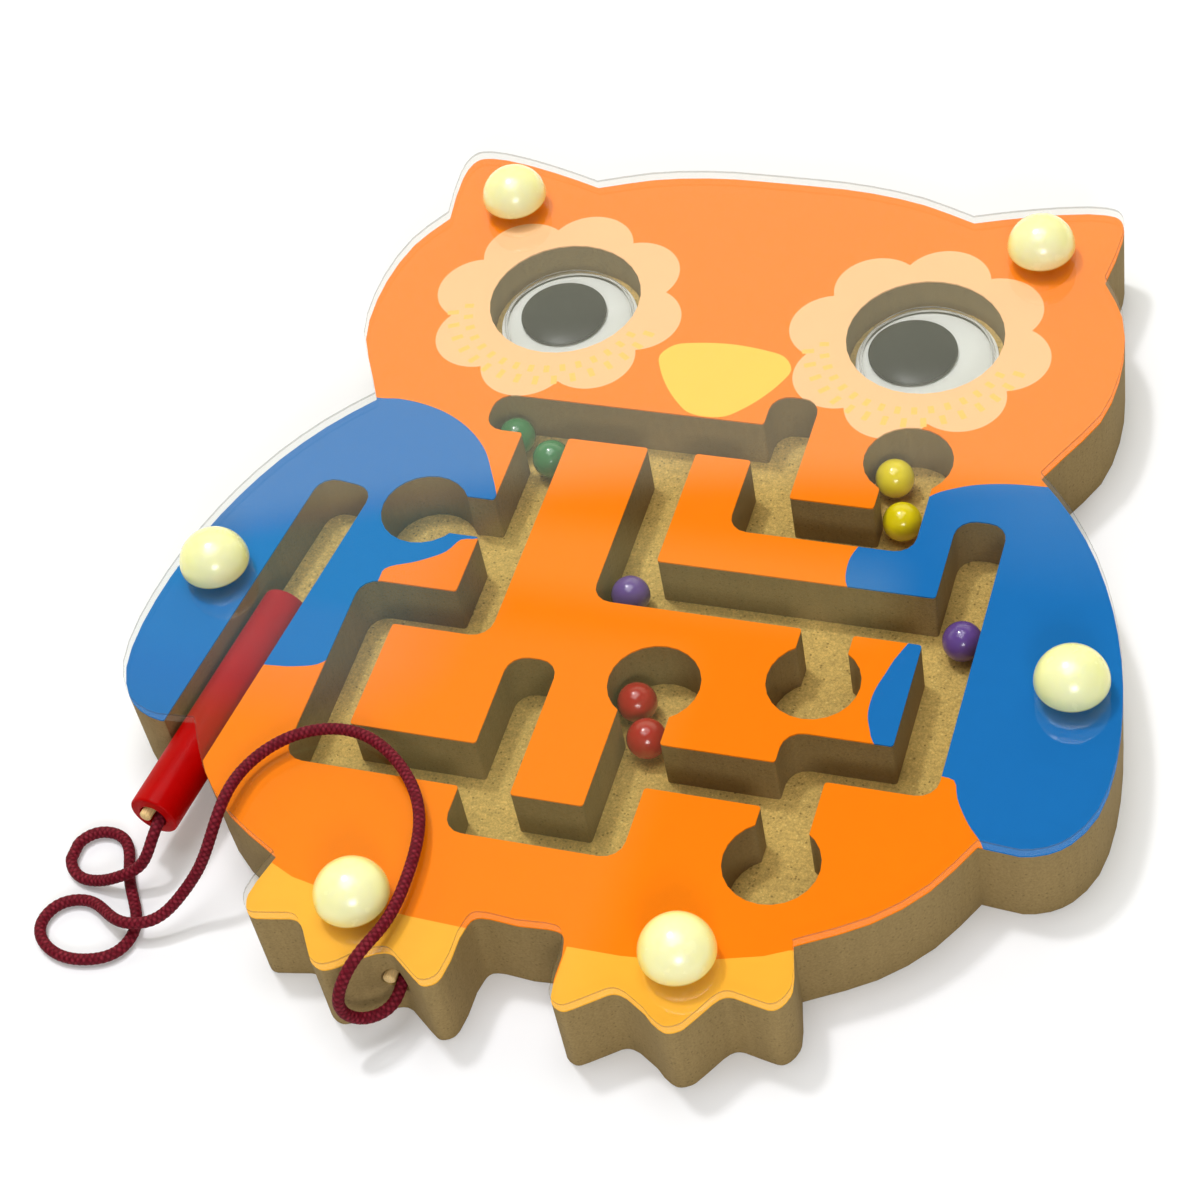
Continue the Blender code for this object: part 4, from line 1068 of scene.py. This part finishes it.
def make_wand(settings):
    """The wand's barrel and its magnet, turned and laid along the way that the wand slides."""
    along = wand_way()
    middle, size = middle_and_size("wand_barrel")
    radius, hole, bore = settings.diameter / 2, settings.magnet / 2 + settings.gap, settings.bore / 2
    long = laid_length(size, radius, along)
    start = middle - along * long / 2
    seat = long - settings.magnet_length - settings.gap
    outer = rounded_corners([(hole, long), (radius, long), (radius, 0), (bore, 0)], settings.chamfer)
    profile = [(0, seat), (hole, seat), *outer, (bore, settings.bore_depth), (0, settings.bore_depth)]
    red = painted("red_lacquer", settings.red, 0.45, 0.06, 260.0, 0.04, 900.0, Specular_IOR_Level=0.04,
                  Coat_Weight=0.06, Coat_Roughness=0.15)
    turned_piece("lacquered_wand", profile, ROUND_LARGE, start, red, "wand", "wand_barrel",
                 direction=along)
    steel = painted("plated_magnet", (0.62, 0.62, 0.63), 0.28, 0.05, 600.0, 0.05, 2000.0, Metallic=1.0)
    back, side = seat + settings.gap, settings.magnet / 2
    profile = rounded_corners([(0, long), (side, long), (side, back), (0, back)], 0.0003)
    turned_piece("magnet_slug", profile, ROUND_SMALL, start, steel, "wand", "wand_magnet",
                 direction=along)


def make_pegs(settings):
    """The two pegs: a slim pin with a domed head, its radius swelling and shrinking a little along it."""
    wood = pale_wood_material(settings.wood)
    angle = np.linspace(0, math.pi / 2, PEG_HEAD_STEPS)
    swell = 1 - 0.03 * np.sin(np.linspace(0, 9, PEG_STEPS)) ** 2
    for name, made, direction, body in (("wand_peg", "cord_peg_wand", -wand_way(), "wand"),
                                        ("foot_peg", "cord_peg_foot", Vector((0, -1, 0)), "board")):
        middle, size = middle_and_size(name)
        radius = size.z / 2
        half = laid_length(size, radius, direction) / 2
        head = np.stack([radius * np.sin(angle), half - radius * 0.5 * (1 - np.cos(angle))], axis=1)
        sides = np.stack([radius * swell, np.linspace(half - radius * 0.6, -half, PEG_STEPS)], axis=1)
        turned_piece(made, [*head, *sides, (0, -half)], ROUND_PEG, middle, wood, body, name,
                     direction=direction)


# Operators

class MakeOperator:
    """What every operator here does: it makes its pieces from its own settings."""
    bl_options = {"REGISTER", "UNDO"}

    def execute(self, context):
        """Makes the pieces."""
        self.make(getattr(context.scene.maze_board, self.group))
        return {"FINISHED"}


class MAZE_OT_camera(MakeOperator, Operator):
    """Places the camera where the photograph was taken"""
    bl_idname = "maze_board.camera"
    bl_label = "Camera"
    group = "camera"
    make = staticmethod(make_camera)


class MAZE_OT_cord(MakeOperator, Operator):
    """Makes the braided cord"""
    bl_idname = "maze_board.cord"
    bl_label = "Cord"
    group = "cord"
    make = staticmethod(make_cord)


class MAZE_OT_stage(MakeOperator, Operator):
    """Makes the floor, the lamps and the room"""
    bl_idname = "maze_board.stage"
    bl_label = "Stage"
    group = "stage"
    make = staticmethod(make_stage)


class MAZE_OT_board(MakeOperator, Operator):
    """Makes the routed board"""
    bl_idname = "maze_board.board"
    bl_label = "Board"
    group = "board"
    make = staticmethod(make_board)


class MAZE_OT_print(MakeOperator, Operator):
    """Makes the printed face"""
    bl_idname = "maze_board.face"
    bl_label = "Printed face"
    group = "face"
    make = staticmethod(make_print)


class MAZE_OT_cover(MakeOperator, Operator):
    """Makes the clear cover"""
    bl_idname = "maze_board.cover"
    bl_label = "Clear cover"
    group = "cover"
    make = staticmethod(make_cover)


class MAZE_OT_plugs(MakeOperator, Operator):
    """Makes the six domed plugs"""
    bl_idname = "maze_board.plugs"
    bl_label = "Plugs"
    group = "plugs"
    make = staticmethod(make_plugs)


class MAZE_OT_balls(MakeOperator, Operator):
    """Makes the eight balls"""
    bl_idname = "maze_board.balls"
    bl_label = "Balls"
    group = "balls"
    make = staticmethod(make_balls)


class MAZE_OT_eyes(MakeOperator, Operator):
    """Makes both googly eyes"""
    bl_idname = "maze_board.eyes"
    bl_label = "Eyes"
    group = "eyes"
    make = staticmethod(make_eyes)


class MAZE_OT_wand(MakeOperator, Operator):
    """Makes the wand and its magnet"""
    bl_idname = "maze_board.wand"
    bl_label = "Wand"
    group = "wand"
    make = staticmethod(make_wand)


class MAZE_OT_pegs(MakeOperator, Operator):
    """Makes the two pegs that hold the cord"""
    bl_idname = "maze_board.pegs"
    bl_label = "Pegs"
    group = "wand"
    make = staticmethod(make_pegs)


SETTINGS = (CameraSettings, StageSettings, BoardSettings, PrintSettings, CoverSettings, PlugSettings, BallSettings,
            EyeSettings, WandSettings, CordSettings, MazeBoardSettings)
OPERATORS = (MAZE_OT_camera, MAZE_OT_cord, MAZE_OT_stage, MAZE_OT_board, MAZE_OT_print, MAZE_OT_cover, MAZE_OT_plugs,
             MAZE_OT_balls, MAZE_OT_eyes, MAZE_OT_wand, MAZE_OT_pegs)


class MAZE_PT_panel(Panel):
    """Lists the pieces and their settings"""
    bl_label = "Maze board"
    bl_idname = "MAZE_PT_panel"
    bl_space_type = "VIEW_3D"
    bl_region_type = "UI"
    bl_category = "Maze board"

    def draw(self, context):
        """A box for each operator, with its settings under it."""
        for operator in OPERATORS:
            box = self.layout.box()
            box.operator(operator.bl_idname)
            group = getattr(context.scene.maze_board, operator.group)
            for key in group.__annotations__:
                box.prop(group, key)


def register():
    """Registers the settings, the operators and the panel."""
    for kind in (*SETTINGS, *OPERATORS, MAZE_PT_panel):
        bpy.utils.register_class(kind)
    bpy.types.Scene.maze_board = PointerProperty(type=MazeBoardSettings)


def unregister():
    """Takes them out again."""
    del bpy.types.Scene.maze_board
    for kind in reversed((*SETTINGS, *OPERATORS, MAZE_PT_panel)):
        bpy.utils.unregister_class(kind)


def main():
    """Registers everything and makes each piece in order."""
    register()
    for operator in OPERATORS:
        group, name = operator.bl_idname.split(".")
        getattr(getattr(bpy.ops, group), name)()
    bpy.context.view_layer.update()


if __name__ == "__main__":
    main()
